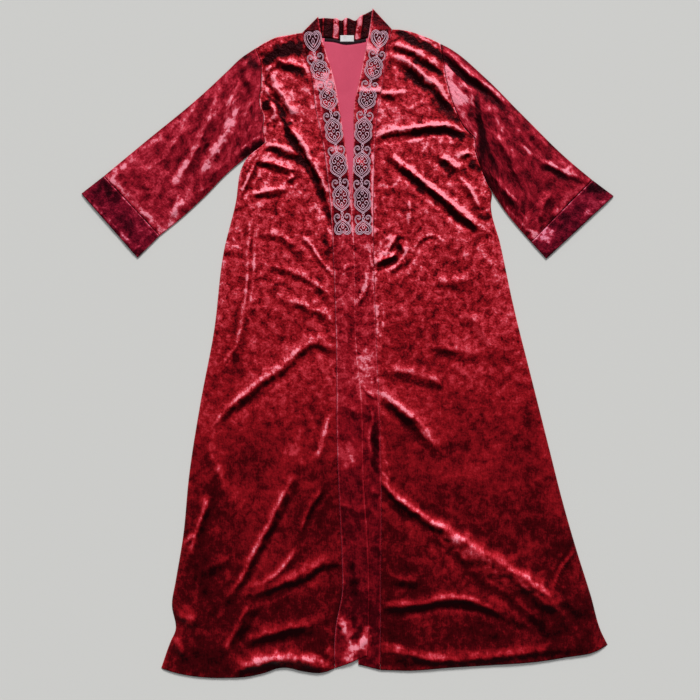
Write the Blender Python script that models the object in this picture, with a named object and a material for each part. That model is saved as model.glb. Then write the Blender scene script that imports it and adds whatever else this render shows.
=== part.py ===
"""An open-fronted velvet robe that lies flat and face up.

The back lies on the floor.  Two fronts lie on it and come down to the floor at
the side seams.  Sleeves and cuffs are flattened tubes, open at both ends.  A
long strip of double cloth runs up each front edge as a band, folds over at the
shoulder and stands behind the neck as the collar.

X runs across the robe, +Y points to the collar and +Z up.  The wearer's right
is at -X.  The origin is on the floor, under the middle of the robe.
"""

from collections import namedtuple

import bmesh
import bpy
import numpy as np

# Every size and table below is in millimetres
MM = 0.001

# Cloth
VELVET = 1.5
DOUBLE_VELVET = 2.2
SLEEVE_WALL = 1.3
CUFF_WALL = 1.6
LABEL_WALL = 1.0
TAPE_WALL = 1.0
LAYER_GAP = 0.3
SEAM_GAP = 0.45

# Heights at which the layers lie over the floor
BACK_TOP = VELVET
FRONT_LOW = BACK_TOP + LAYER_GAP
BAND_OVER = FRONT_LOW + DOUBLE_VELVET + LAYER_GAP
COLLAR_TOP = DOUBLE_VELVET + 0.6
BAND_AT_COLLAR = COLLAR_TOP + LAYER_GAP
SLEEVE_EDGE = 2 * SLEEVE_WALL + 0.5
CUFF_EDGE = 2 * CUFF_WALL + 0.5

# How far the cloth lifts off the layer below it, away from its edges
FRONT_LOFT = 1.8
SLEEVE_LOFT = 2.2
CUFF_LOFT = 0.8

# Fineness of the surfaces
ROW_STEP = 18.0
FRONT_COLUMNS = 16
BAND_COLUMNS = 5
SLEEVE_ROWS = 14
CUFF_ROWS = 4
COLLAR_STEP = 6.0
COLLAR_ROWS = 4

# The front turns down to the side seam over this width
SIDE_ROLL = 5.0
BACK_INSET = SIDE_ROLL + 0.8

# Folds die away over these widths, to these shares of their height
SEAM_CALM = 16.0
SIDE_CALM = 26.0
HEM_CALM = 32.0
SEAM_SHARE = 0.35
HEM_SHARE = 0.30
BAND_SHARE = 0.35
SLEEVE_END_SHARE = 0.40

# A fold's ends die away over these shares of its length
FOLD_END = (-0.12, 0.22)
# A trough's middle lies this many widths from its crest
TROUGH_AWAY = 2.2

# Where the bands begin to lap, and where they lap fully
LAP_START = 457.0
LAP_FULL = 330.0
LAP_RAMP = 0.35

# Where the bands rise on to the collar
RISE_START = 583.0
RISE_FULL = 607.0

# Outlines, each row a point with columns x, y
SHOULDER_RIGHT = ((-188, 604), (-171, 613), (-147, 624), (-118, 630), (-93, 635))
SHOULDER_LEFT = ((91, 642), (108, 641), (132, 636), (157, 627), (190, 613))
ARMHOLE_RIGHT = (
    (-188, 604), (-177, 572), (-176, 539), (-179, 484), (-172, 463), (-173, 435), (-169, 410),
)
ARMHOLE_LEFT = (
    (190, 613), (196, 578), (200, 549), (217, 488), (242, 437), (259, 420), (262, 392),
    (276, 351), (283, 332),
)
SIDE_RIGHT = (
    (-169, 410), (-208, 377), (-217, 359), (-229, 289), (-253, 191), (-274, 23), (-302, -125),
    (-325, -273), (-337, -396), (-352, -486), (-360, -535), (-353, -590), (-362, -610),
    (-382, -666),
)
SIDE_LEFT = (
    (283, 332), (296, 305), (294, 287), (313, 203), (341, 72), (378, -76), (415, -223),
    (440, -322), (468, -420), (499, -519), (520, -592), (533, -618),
)
HEM_RIGHT = (
    (-382, -666), (-343, -677), (-294, -684), (-245, -685), (-196, -681), (-165, -673),
    (-142, -665), (-122, -664), (-97, -670), (-52, -674), (-26, -666),
)
HEM_LEFT = (
    (67, -669), (132, -670), (206, -664), (304, -658), (403, -650), (452, -642), (501, -633),
    (533, -618),
)
BACK_HEM = (
    (-374, -658), (-294, -675), (-196, -672), (-130, -656), (-52, -664), (-20, -652),
    (36, -630), (67, -655), (132, -662), (304, -650), (452, -634), (524, -612),
)
BAND_SEAM_RIGHT = (
    (-93, 635), (-84, 592), (-75, 554), (-65, 476), (-52, 414), (-34, 260), (-29, 170),
    (-23, -14), (-21, -221), (-15, -361), (-11, -453), (-11, -510), (-24, -580), (-27, -625),
    (-26, -666),
)
BAND_EDGE_RIGHT = (
    (-60, 668), (-53, 627), (-43, 592), (-27, 539), (-13, 459), (1, 365), (10, 260), (15, 170),
    (19, -14), (29, -117), (34, -299), (41, -400), (44, -482), (44, -562), (40, -639),
)
BAND_SEAM_LEFT = (
    (91, 642), (79, 592), (74, 547), (61, 467), (54, 340), (54, 170), (60, -14), (64, -107),
    (68, -221), (69, -361), (68, -504), (67, -669),
)
BAND_EDGE_LEFT = (
    (51, 685), (43, 631), (37, 601), (23, 533), (14, 490), (13, 414), (8, 314), (9, 170),
    (15, -14), (19, -107), (23, -221), (24, -361), (23, -504), (22, -658),
)
NECK_SEAM = ((-91, 634), (-52, 625), (-28, 623), (-5, 618), (17, 620), (42, 625), (89, 640))
COLLAR_BRIM = (
    (-61, 665), (-40, 666), (-26, 664), (-13, 661), (1, 666), (16, 661), (27, 669), (50, 682),
)
SLEEVE_TOP_RIGHT = ((-188, 604), (-220, 582), (-245, 558), (-294, 512), (-417, 410), (-499, 342))
SLEEVE_FOOT_RIGHT = ((-169, 410), (-212, 381), (-245, 350), (-294, 299), (-343, 254), (-385, 220))
CUFF_SEAM_RIGHT = ((-499, 342), (-385, 220))
CUFF_END_RIGHT = ((-545, 306), (-430, 175))
SLEEVE_TOP_LEFT = ((190, 613), (206, 605), (280, 545), (354, 471), (452, 375), (501, 334))
SLEEVE_FOOT_LEFT = ((283, 332), (299, 306), (329, 262), (354, 232), (376, 207))
CUFF_SEAM_LEFT = ((501, 334), (376, 207))
CUFF_END_LEFT = ((545, 301), (407, 173))

# Folds: height of the crest, width of its slope on each side, depth of the
# trough beside it on the right-hand side of the way along it, and the way.
Fold = namedtuple("Fold", "height left right trough way")

FOLDS_RIGHT = (
    Fold(5, 12, 10, 1, ((-145, 584), (-85, 570))),
    Fold(6, 13, 12, 3, ((-171, 521), (-142, 504), (-101, 465))),
    Fold(8, 14, 13, 3, ((-26, 205), (-30, 279), (-54, 332), (-89, 396), (-128, 449))),
    Fold(4, 12, 10, 1, ((-163, 412), (-97, 385))),
    Fold(4, 11, 10, 1, ((-188, 309), (-153, 316), (-120, 318))),
    Fold(5, 14, 12, 2, ((-173, 232), (-140, 226), (-97, 187))),
    Fold(6, 14, 12, 2, ((-83, 217), (-46, 156), (-26, 133))),
    Fold(7, 15, 13, 2, ((-153, 158), (-83, 129), (-36, 90))),
    Fold(11, 18, 15, 3, ((-225, -118), (-181, -76), (-140, -45), (-101, -8), (-62, 12), (-30, -6))),
    Fold(7, 12, 12, 2, ((-200, 242), (-204, 115), (-218, 40), (-259, -53))),
    Fold(4, 11, 12, 1, ((-38, -146), (-60, -240))),
    Fold(11, 18, 15, 2, ((-262, -535), (-229, -488), (-175, -398), (-120, -291))),
    Fold(6, 14, 13, 2, ((-95, -385), (-52, -295))),
    Fold(6, 13, 12, 2, ((-319, -424), (-292, -312))),
    Fold(10, 17, 14, 4, ((-190, -500), (-134, -480), (-89, -459), (-30, -428))),
    Fold(7, 16, 13, 2, ((-249, -625), (-198, -531))),
    Fold(7, 16, 14, 2, ((-215, -612), (-140, -585), (-65, -566))),
    Fold(8, 15, 12, 0, ((-200, -655), (-142, -634), (-60, -650))),
)

FOLDS_LEFT = (
    Fold(5, 13, 11, 2, ((97, 609), (190, 562))),
    Fold(8, 15, 13, 3, ((93, 586), (147, 551), (214, 492), (236, 450))),
    Fold(9, 15, 13, 4, ((62, 424), (147, 441), (202, 442), (243, 428))),
    Fold(7, 15, 14, 2, ((83, 390), (147, 342), (243, 262), (282, 234))),
    Fold(4, 11, 11, 1, ((192, 385), (231, 357))),
    Fold(5, 12, 11, 1, ((235, 336), (272, 279))),
    Fold(6, 13, 12, 4, ((58, 176), (101, 187))),
    Fold(4, 14, 13, 1, ((118, 289), (136, 219))),
    Fold(3, 16, 14, 1, ((181, 0), (296, -20))),
    Fold(4, 16, 14, 1, ((70, -59), (124, -68), (198, -92))),
    Fold(8, 17, 15, 2, ((75, -98), (145, -170), (181, -213))),
    Fold(
        14, 20, 17, 4,
        ((75, -269), (114, -316), (204, -387), (319, -452), (415, -530), (455, -566)),
    ),
    Fold(
        11, 18, 14, 4,
        ((75, -533), (140, -527), (204, -512), (259, -521), (362, -584), (401, -613)),
    ),
    Fold(8, 15, 13, 1, ((75, -621), (122, -627), (204, -642), (298, -634), (397, -617))),
    Fold(4, 13, 12, 1, ((454, -400), (432, -449), (419, -500))),
)

SLEEVE_FOLDS_RIGHT = (
    Fold(5, 13, 12, 1, ((-226, 520), (-241, 457), (-251, 410), (-294, 355))),
    Fold(5, 13, 12, 1, ((-265, 494), (-302, 404), (-352, 322))),
)

SLEEVE_FOLDS_LEFT = (
    Fold(8, 14, 11, 2, ((205, 590), (268, 540), (345, 462))),
    Fold(6, 14, 12, 1, ((352, 410), (393, 375), (470, 330))),
)

# Pleats of the collar behind the neck: place across, height and half width
Pleat = namedtuple("Pleat", "x height width")
# They grow between these shares of the way from the neck seam to the brim
PLEAT_RISE = (0.05, 0.9)

COLLAR_PLEATS = (
    Pleat(-33, 4.0, 6.0),
    Pleat(-8, 3.5, 5.0),
    Pleat(21, 4.5, 7.0),
)

# The label covers this box, columns left, right, bottom, top
LABEL_BOX = (-15, 13, 617, 629)
LABEL_CELLS = 6
TAPE_WIDTH = 6.0
TAPE_ENDS = (-47.0, 38.0)

# Finishes: columns colour, roughness
Finish = namedtuple("Finish", "colour roughness")

VELVET_FACE = Finish((0.30, 0.006, 0.018, 1.0), 0.55)
VELVET_SLEEVE = Finish((0.27, 0.006, 0.020, 1.0), 0.55)
VELVET_BACK = Finish((0.55, 0.065, 0.115, 1.0), 0.90)
TAPE_CLOTH = Finish((0.035, 0.004, 0.010, 1.0), 0.80)
LABEL_CLOTH = Finish((0.80, 0.78, 0.76, 1.0), 0.60)


def clear_scene():
    for thing in list(bpy.data.objects):
        bpy.data.objects.remove(thing, do_unlink=True)


def smooth(value, low, high):
    """0 below low, 1 above high, and a soft step between."""
    t = np.clip((value - low) / (high - low), 0.0, 1.0)
    return t * t * (3.0 - 2.0 * t)


def grow(distance, width, share):
    """share at a seam, and a soft rise to 1 at this width away from it."""
    return share + (1.0 - share) * smooth(distance, 0.0, width)


def cut_evenly(outline, step):
    """The outline's own points, with even steps between them no longer than step."""
    points = np.array(outline, dtype=float)
    run = [points[0]]
    for start, end in zip(points[:-1], points[1:]):
        count = max(1, int(np.ceil(np.linalg.norm(end - start) / step)))
        for k in range(1, count + 1):
            run.append(start + (end - start) * k / count)
    return np.array(run)


def at_fractions(outline, fractions):
    """Points at these fractions of the outline's length."""
    points = np.array(outline, dtype=float)
    lengths = np.linalg.norm(np.diff(points, axis=0), axis=1)
    travelled = np.concatenate(([0.0], np.cumsum(lengths))) / lengths.sum()
    x = np.interp(fractions, travelled, points[:, 0])
    y = np.interp(fractions, travelled, points[:, 1])
    return np.stack([x, y], axis=-1)


def at_heights(outline, fractions):
    """Points at these fractions of the way down from the outline's first y to its last."""
    points = np.array(outline, dtype=float)
    down = (points[0, 1] - points[:, 1]) / (points[0, 1] - points[-1, 1])
    x = np.interp(fractions, down, points[:, 0])
    y = np.interp(fractions, down, points[:, 1])
    return np.stack([x, y], axis=-1)


def fill_panel(side_a, side_b, top, bottom, across, down):
    """Points between four edges: a straight run from side to side, plus what the
    top and bottom edges bow away from straight, dying away down the panel."""
    a = side_a[:, None, :]
    b = side_b[:, None, :]
    u = across[..., None]
    v = down[:, None, None]
    straight = (1 - u) * a + u * b
    top_bow = at_fractions(top, across) - ((1 - u) * side_a[0] + u * side_b[0])
    bottom_bow = at_fractions(bottom, across) - ((1 - u) * side_a[-1] + u * side_b[-1])
    return straight + (1 - v) * top_bow + v * bottom_bow


def fold_relief(x, y, folds):
    """Height that the folds give at x, y.

    Each fold is a soft ridge about its way: height * exp(-(distance/width)^2),
    with one width on each side, a trough beside it, and ends that die away.
    """
    relief = np.zeros_like(x)
    for fold in folds:
        way = np.array(fold.way, dtype=float)
        nearest = np.full(x.shape, np.inf)
        off = np.zeros_like(x)
        along = np.zeros_like(x)
        lengths = np.linalg.norm(np.diff(way, axis=0), axis=1)
        total = lengths.sum()
        passed = 0.0
        for start, end, length in zip(way[:-1], way[1:], lengths):
            direction = (end - start) / length
            dx = x - start[0]
            dy = y - start[1]
            step = np.clip(dx * direction[0] + dy * direction[1], 0.0, length)
            distance = np.hypot(dx - step * direction[0], dy - step * direction[1])
            side = np.sign(direction[0] * dy - direction[1] * dx)
            closer = distance < nearest
            nearest = np.where(closer, distance, nearest)
            off = np.where(closer, distance * side, off)
            along = np.where(closer, passed + step, along)
            passed += length
        ends = smooth(np.minimum(along, total - along) / total, *FOLD_END)
        width = np.where(off > 0, fold.left, fold.right)
        ridge = fold.height * np.exp(-((off / width) ** 2))
        trough = fold.trough * np.exp(-((off / fold.right + TROUGH_AWAY) ** 2))
        relief += ends * (ridge - trough)
    return relief


def paint(name, finish):
    """A plain finish for the solid."""
    material = bpy.data.materials.new(name)
    material.use_nodes = True
    shader = material.node_tree.nodes["Principled BSDF"]
    shader.inputs["Base Color"].default_value = finish.colour
    shader.inputs["Roughness"].default_value = finish.roughness
    shader.inputs["Metallic"].default_value = 0.0
    return material


def add_solid(name, points, faces, finish):
    """One closed object from points in millimetres."""
    mesh = bpy.data.meshes.new(name)
    mesh.from_pydata([tuple(p * MM) for p in points], [], faces)
    shell = bmesh.new()
    shell.from_mesh(mesh)
    bmesh.ops.recalc_face_normals(shell, faces=shell.faces)
    shell.to_mesh(mesh)
    shell.free()
    mesh.materials.append(paint(name + "_cloth", finish))
    thing = bpy.data.objects.new(name, mesh)
    bpy.context.collection.objects.link(thing)
    return thing


def split_quad(corners, drop_ac, drop_bd):
    """Two triangles across the flatter diagonal of corners a, b, c, d."""
    a, b, c, d = corners
    if drop_ac <= drop_bd:
        return [(a, b, c), (a, c, d)]
    return [(a, b, d), (b, c, d)]


def cloth_wall(name, plan, low, thickness, finish):
    """A wall of cloth: the surface low over the plan, and the same one thickness above."""
    rows, columns = low.shape
    bottom = np.dstack([plan, low]).reshape(-1, 3)
    top = bottom + (0.0, 0.0, thickness)
    count = rows * columns
    faces = []
    for r in range(rows - 1):
        for c in range(columns - 1):
            a, b = r * columns + c, (r + 1) * columns + c
            corners = (a, b, b + 1, a + 1)
            drop_ac = abs(low[r, c] - low[r + 1, c + 1])
            drop_bd = abs(low[r + 1, c] - low[r, c + 1])
            for p, q, s in split_quad(corners, drop_ac, drop_bd):
                faces.append((p + count, q + count, s + count))
                faces.append((s, q, p))
    west = [r * columns for r in range(rows)]
    south = [(rows - 1) * columns + c for c in range(columns)]
    east = [r * columns + columns - 1 for r in reversed(range(rows))]
    north = list(reversed(range(columns)))
    for run in (west, south, east, north):
        for p, q in zip(run[:-1], run[1:]):
            faces.append((p, q, q + count, p + count))
    return add_solid(name, np.vstack([bottom, top]), faces, finish)


def flat_wall(name, outline, thickness, finish):
    """A flat wall of cloth on the floor, inside one outline."""
    count = len(outline)
    bottom = np.column_stack([outline, np.zeros(count)])
    top = bottom + (0.0, 0.0, thickness)
    faces = [tuple(range(count)), tuple(count + k for k in reversed(range(count)))]
    for k in range(count):
        n = (k + 1) % count
        faces.append((k, n, n + count, k + count))
    return add_solid(name, np.vstack([bottom, top]), faces, finish)


def flattened_tube(name, plan, height, wall, finish):
    """A tube of cloth pressed flat on the floor, open at both ends.

    A row of the plan is a section across the tube.  The lower layer lies on the
    floor, and height is the top of the upper layer.
    """
    rows, columns = height.shape
    across = plan[:, -1] - plan[:, 0]
    across = across / np.linalg.norm(across, axis=1)[:, None]
    inner_plan = plan.copy()
    inner_plan[:, 0] += wall * across
    inner_plan[:, -1] -= wall * across
    floor = np.zeros_like(height)
    outer = np.concatenate(
        [np.dstack([plan, floor]), np.dstack([plan, height])[:, ::-1]], axis=1
    )
    inner = np.concatenate(
        [
            np.dstack([inner_plan, floor + wall]),
            np.dstack([inner_plan, height - wall])[:, ::-1],
        ],
        axis=1,
    )
    ring = 2 * columns
    count = rows * ring
    faces = []
    for r in range(rows - 1):
        for c in range(ring):
            n = (c + 1) % ring
            a, b = r * ring + c, (r + 1) * ring + c
            far_b, far_a = (r + 1) * ring + n, r * ring + n
            drop_ac = abs(outer[r, c, 2] - outer[r + 1, n, 2])
            drop_bd = abs(outer[r + 1, c, 2] - outer[r, n, 2])
            for p, q, s in split_quad((a, b, far_b, far_a), drop_ac, drop_bd):
                faces.append((p, q, s))
                faces.append((s + count, q + count, p + count))
    for r in (0, rows - 1):
        for c in range(ring):
            n = (c + 1) % ring
            faces.append((r * ring + c, r * ring + n, r * ring + n + count, r * ring + c + count))
    points = np.vstack([outer.reshape(-1, 3), inner.reshape(-1, 3)])
    return add_solid(name, points, faces, finish)


def measure_down(side):
    """How far down a side each of its points is, from 0 to 1."""
    return (side[0, 1] - side[:, 1]) / (side[0, 1] - side[-1, 1])


def side_points(armhole, side):
    """The outer edge of a front, from the shoulder to the hem."""
    return cut_evenly(armhole + side[1:], ROW_STEP)


def lay_front(name, edge, seam, shoulder, hem, folds, armhole, seam_first):
    """A front: edge is its outer side, seam its side at the band."""
    down = measure_down(edge)
    width = np.abs(edge[:, 0] - seam[:, 0])
    roll = (SIDE_ROLL / width)[:, None]
    even = np.linspace(0.0, 1.0, FRONT_COLUMNS)[None, :]
    from_side = np.hstack([np.zeros_like(roll), roll + (1 - roll) * even])
    if seam_first:
        across = 1 - from_side[:, ::-1]
        plan = fill_panel(seam, edge, shoulder, hem, across, down)
        off_side = from_side[:, ::-1]
    else:
        across = from_side
        plan = fill_panel(edge, seam, shoulder, hem, across, down)
        off_side = from_side
    x, y = plan[..., 0], plan[..., 1]
    reach = off_side * width[:, None]
    to_seam = (1 - off_side) * width[:, None]
    length = edge[0, 1] - edge[-1, 1]
    calm = smooth(reach, 0.0, SIDE_CALM) * grow(to_seam, SEAM_CALM, SEAM_SHARE)
    calm *= smooth(down * length, 0.0, SEAM_CALM)[:, None]
    calm *= grow((1 - down) * length, HEM_CALM, HEM_SHARE)[:, None]
    relief = np.maximum(calm * (FRONT_LOFT + fold_relief(x, y, folds)), 0.0)
    below_arm = smooth(armhole[-1][1] - edge[:, 1], 0.0, ROW_STEP)[:, None]
    lift = FRONT_LOW * (1 - below_arm * (1 - smooth(reach, 0.0, SIDE_ROLL)))
    return cloth_wall(name, plan, lift + relief, VELVET, VELVET_FACE)


def lay_band(name, seam, edge, top, hem, folds, seam_first, laps):
    """A front band: seam is its side at the front, edge its free side."""
    down = measure_down(seam)
    share = np.linspace(0.0, 1.0, BAND_COLUMNS + 1)
    from_seam = np.tile(share, (len(seam), 1))
    if seam_first:
        plan = fill_panel(seam, edge, top, hem, from_seam, down)
    else:
        from_seam = from_seam[:, ::-1]
        plan = fill_panel(edge, seam, top, hem, 1 - from_seam, down)
    x, y = plan[..., 0], plan[..., 1]
    calm = BAND_SHARE * (1 - smooth(from_seam, 0.0, LAP_RAMP))
    calm = calm * (1 - smooth(y, RISE_START - SEAM_CALM, RISE_START))
    relief = np.maximum(calm * (FRONT_LOFT + fold_relief(x, y, folds)), 0.0)
    low = FRONT_LOW + (BAND_AT_COLLAR - FRONT_LOW) * smooth(y, RISE_START, RISE_FULL)
    if laps:
        lapped = (1 - smooth(y, LAP_FULL, LAP_START)) * smooth(from_seam, 0.0, LAP_RAMP)
        low = low + (BAND_OVER - FRONT_LOW) * lapped
    return cloth_wall(name, plan, low + relief, DOUBLE_VELVET, VELVET_FACE)


def lay_sleeve(name, armhole, top, foot, cuff_seam, folds):
    """A sleeve from the armhole to the cuff seam."""
    down = np.linspace(0.0, 1.0, SLEEVE_ROWS + 1)
    across = np.linspace(0.0, 1.0, len(armhole))
    along_top = at_fractions(top, down)
    along_foot = at_fractions(foot, down)
    grid = np.tile(across, (len(down), 1))
    plan = fill_panel(along_top, along_foot, top=armhole, bottom=cuff_seam, across=grid, down=down)
    plan[0] = armhole
    x, y = plan[..., 0], plan[..., 1]
    width = np.linalg.norm(along_foot - along_top, axis=1)[:, None]
    reach = np.minimum(grid, 1 - grid) * width
    length = np.linalg.norm(along_top[-1] - along_top[0])
    ends = np.minimum(down, 1 - down)[:, None] * length
    calm = smooth(reach, 0.0, SIDE_CALM) * grow(ends, SIDE_CALM, SLEEVE_END_SHARE)
    relief = np.maximum(calm * (SLEEVE_LOFT + fold_relief(x, y, folds)), 0.0)
    return flattened_tube(name, plan, SLEEVE_EDGE + relief, SLEEVE_WALL, VELVET_SLEEVE)


def lay_cuff(name, seam, end, cells):
    """A cuff from its seam to its open end, with as many cells across as the sleeve."""
    share = np.linspace(0.0, 1.0, cells)
    seam_points = at_fractions(seam, share)
    end_points = at_fractions(end, share)
    outward = end_points - seam_points
    outward = outward / np.linalg.norm(outward, axis=1)[:, None]
    seam_points = seam_points + SEAM_GAP * outward
    v = np.linspace(0.0, 1.0, CUFF_ROWS + 1)[:, None, None]
    plan = (1 - v) * seam_points + v * end_points
    width = np.linalg.norm(end_points[-1] - end_points[0])
    reach = np.minimum(share, 1 - share) * width
    loft = CUFF_LOFT * smooth(reach, 0.0, SEAM_CALM)
    height = np.tile(CUFF_EDGE + loft, (CUFF_ROWS + 1, 1))
    return flattened_tube(name, plan, height, CUFF_WALL, VELVET_SLEEVE)


def collar_relief(x, rise):
    """Pleats of the collar, which grow from nothing at the neck seam to the brim."""
    relief = np.zeros_like(x)
    for pleat in COLLAR_PLEATS:
        relief += pleat.height * np.exp(-(((x - pleat.x) / pleat.width) ** 2))
    return relief * smooth(rise, *PLEAT_RISE)


def lay_collar():
    """The part of the strip that stands behind the neck and shows its inner face."""
    seam = cut_evenly(NECK_SEAM, COLLAR_STEP) + (0.0, SEAM_GAP)
    lengths = np.concatenate(([0.0], np.cumsum(np.linalg.norm(np.diff(seam, axis=0), axis=1))))
    brim = at_fractions(COLLAR_BRIM, lengths / lengths[-1])
    rise = np.linspace(1.0, 0.0, COLLAR_ROWS + 1)
    plan = rise[:, None, None] * brim + (1 - rise)[:, None, None] * seam
    low = collar_relief(plan[..., 0], rise[:, None])
    return cloth_wall("collar", plan, low, COLLAR_TOP, VELVET_FACE)


def lay_tape():
    """The narrow tape that covers the neck seam inside the back."""
    points = np.array(NECK_SEAM, dtype=float)
    inner = [x for x in points[:, 0] if TAPE_ENDS[0] < x < TAPE_ENDS[1]]
    x = np.array([TAPE_ENDS[0]] + inner + [TAPE_ENDS[1]])
    y = np.interp(x, points[:, 0], points[:, 1]) - SEAM_GAP
    upper = np.column_stack([x, y])
    plan = np.stack([upper, upper - (0.0, TAPE_WIDTH)])
    low = np.full(plan.shape[:2], FRONT_LOW)
    return cloth_wall("neck_tape", plan, low, TAPE_WALL, TAPE_CLOTH)


def lay_label():
    """The bare label, sewn over the neck seam on the tape and the collar."""
    left, right, bottom, top = LABEL_BOX
    x, y = np.meshgrid(np.linspace(left, right, LABEL_CELLS + 1), np.linspace(top, bottom, 3))
    seam = np.array(NECK_SEAM, dtype=float)
    brim = np.array(COLLAR_BRIM, dtype=float)
    seam_y = np.interp(x, seam[:, 0], seam[:, 1])
    brim_y = np.interp(x, brim[:, 0], brim[:, 1])
    rise = np.clip((y - seam_y) / (brim_y - seam_y), 0.0, 1.0)
    low = COLLAR_TOP + LAYER_GAP + collar_relief(x, rise)
    return cloth_wall("label", np.dstack([x, y]), low, LABEL_WALL, LABEL_CLOTH)


def lay_back(edge_right, edge_left, armhole_rows_right, armhole_rows_left):
    """The back, flat on the floor under everything but the sleeves and collar."""
    right_side = edge_right[armhole_rows_right:] + (BACK_INSET, -BACK_INSET)
    left_side = edge_left[armhole_rows_left:] - (BACK_INSET, BACK_INSET)
    right_side = right_side[right_side[:, 1] > BACK_HEM[0][1] + ROW_STEP / 2]
    left_side = left_side[left_side[:, 1] > BACK_HEM[-1][1] + ROW_STEP / 2]
    outline = np.vstack(
        [
            edge_right[:armhole_rows_right],
            right_side,
            np.array(BACK_HEM, dtype=float),
            left_side[::-1],
            edge_left[:armhole_rows_left][::-1],
            np.array(SHOULDER_LEFT, dtype=float)[::-1][1:-1],
            np.array(NECK_SEAM, dtype=float)[::-1],
            np.array(SHOULDER_RIGHT, dtype=float)[::-1][1:-1],
        ]
    )
    return flat_wall("back", outline, BACK_TOP, VELVET_BACK)


def build_robe():
    edge_right = side_points(ARMHOLE_RIGHT, SIDE_RIGHT)
    edge_left = side_points(ARMHOLE_LEFT, SIDE_LEFT)
    seam_right = at_heights(BAND_SEAM_RIGHT, measure_down(edge_right))
    seam_left = at_heights(BAND_SEAM_LEFT, measure_down(edge_left))
    armhole_right = cut_evenly(ARMHOLE_RIGHT, ROW_STEP)
    armhole_left = cut_evenly(ARMHOLE_LEFT, ROW_STEP)

    lay_back(edge_right, edge_left, len(armhole_right), len(armhole_left))
    lay_front(
        "front_right", edge_right, seam_right, SHOULDER_RIGHT, HEM_RIGHT, FOLDS_RIGHT,
        ARMHOLE_RIGHT, seam_first=False,
    )
    lay_front(
        "front_left", edge_left, seam_left, SHOULDER_LEFT, HEM_LEFT, FOLDS_LEFT,
        ARMHOLE_LEFT, seam_first=True,
    )

    band_seam_right = seam_right + (SEAM_GAP, 0.0)
    band_edge_right = at_heights(BAND_EDGE_RIGHT, measure_down(edge_right))
    lay_band(
        "band_right", band_seam_right, band_edge_right,
        (tuple(band_seam_right[0]), BAND_EDGE_RIGHT[0]),
        (tuple(band_seam_right[-1]), BAND_EDGE_RIGHT[-1]),
        FOLDS_RIGHT, seam_first=True, laps=True,
    )
    band_seam_left = seam_left - (SEAM_GAP, 0.0)
    band_edge_left = at_heights(BAND_EDGE_LEFT, measure_down(edge_left))
    lay_band(
        "band_left", band_seam_left, band_edge_left,
        (BAND_EDGE_LEFT[0], tuple(band_seam_left[0])),
        (BAND_EDGE_LEFT[-1], tuple(band_seam_left[-1])),
        FOLDS_LEFT, seam_first=False, laps=False,
    )

    lay_sleeve(
        "sleeve_right", armhole_right - (SEAM_GAP, 0.0), SLEEVE_TOP_RIGHT, SLEEVE_FOOT_RIGHT,
        CUFF_SEAM_RIGHT, SLEEVE_FOLDS_RIGHT,
    )
    lay_sleeve(
        "sleeve_left", armhole_left + (SEAM_GAP, 0.0), SLEEVE_TOP_LEFT, SLEEVE_FOOT_LEFT,
        CUFF_SEAM_LEFT, SLEEVE_FOLDS_LEFT,
    )
    lay_cuff("cuff_right", CUFF_SEAM_RIGHT, CUFF_END_RIGHT, len(armhole_right))
    lay_cuff("cuff_left", CUFF_SEAM_LEFT, CUFF_END_LEFT, len(armhole_left))
    lay_collar()
    lay_tape()
    lay_label()


clear_scene()
build_robe()
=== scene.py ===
# %% [markdown]
# # A crushed velvet robe, laid flat
#
# This notebook dresses the solids of a long open-fronted robe.  The solids are
# right in size and place, but plain.  Each cell below makes one piece of cloth,
# or one finish, as a surface worked out with numpy.  Lengths in the tables are
# millimetres.  X runs across the robe, +Y points to the collar, +Z is up, and
# the wearer's right side is at -X.

# %% The frame
from collections import namedtuple

import bpy
import numpy as np
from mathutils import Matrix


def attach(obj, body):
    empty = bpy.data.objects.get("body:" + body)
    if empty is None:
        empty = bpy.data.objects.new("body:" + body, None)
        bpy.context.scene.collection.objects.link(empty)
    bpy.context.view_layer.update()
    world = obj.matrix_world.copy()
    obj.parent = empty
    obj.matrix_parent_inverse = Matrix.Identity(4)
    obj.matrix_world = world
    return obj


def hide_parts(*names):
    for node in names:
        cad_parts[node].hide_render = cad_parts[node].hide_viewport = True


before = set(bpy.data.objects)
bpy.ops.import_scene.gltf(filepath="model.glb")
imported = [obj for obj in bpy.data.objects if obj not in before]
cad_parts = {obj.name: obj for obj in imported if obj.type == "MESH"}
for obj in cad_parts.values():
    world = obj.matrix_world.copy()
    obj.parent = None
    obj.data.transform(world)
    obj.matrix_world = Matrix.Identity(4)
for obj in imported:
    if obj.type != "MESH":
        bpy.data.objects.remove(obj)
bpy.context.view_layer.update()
MM = 0.001

# %% [markdown]
# ## Sizes
#
# A sewn robe is described best by its own seams.  These are the thicknesses and
# heights of the layers, as in the solids, and then one outline for each seam or
# edge.  A table row is one point: x, y.

# %% Layers
VELVET = 1.5
DOUBLE_VELVET = 2.2
SLEEVE_WALL = 1.3
CUFF_WALL = 1.6
LAYER_GAP = 0.3
SEAM_GAP = 0.45
BACK_TOP = VELVET
FRONT_LOW = BACK_TOP + LAYER_GAP
BAND_OVER = FRONT_LOW + DOUBLE_VELVET + LAYER_GAP
COLLAR_TOP = DOUBLE_VELVET + 0.6
BAND_AT_COLLAR = COLLAR_TOP + LAYER_GAP
SLEEVE_EDGE = 2 * SLEEVE_WALL + 0.5
CUFF_EDGE = 2 * CUFF_WALL + 0.5
FRONT_LOFT = 1.8
SLEEVE_LOFT = 2.2
CUFF_LOFT = 0.8
SIDE_ROLL = 5.0
BACK_INSET = SIDE_ROLL + 0.8

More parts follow.
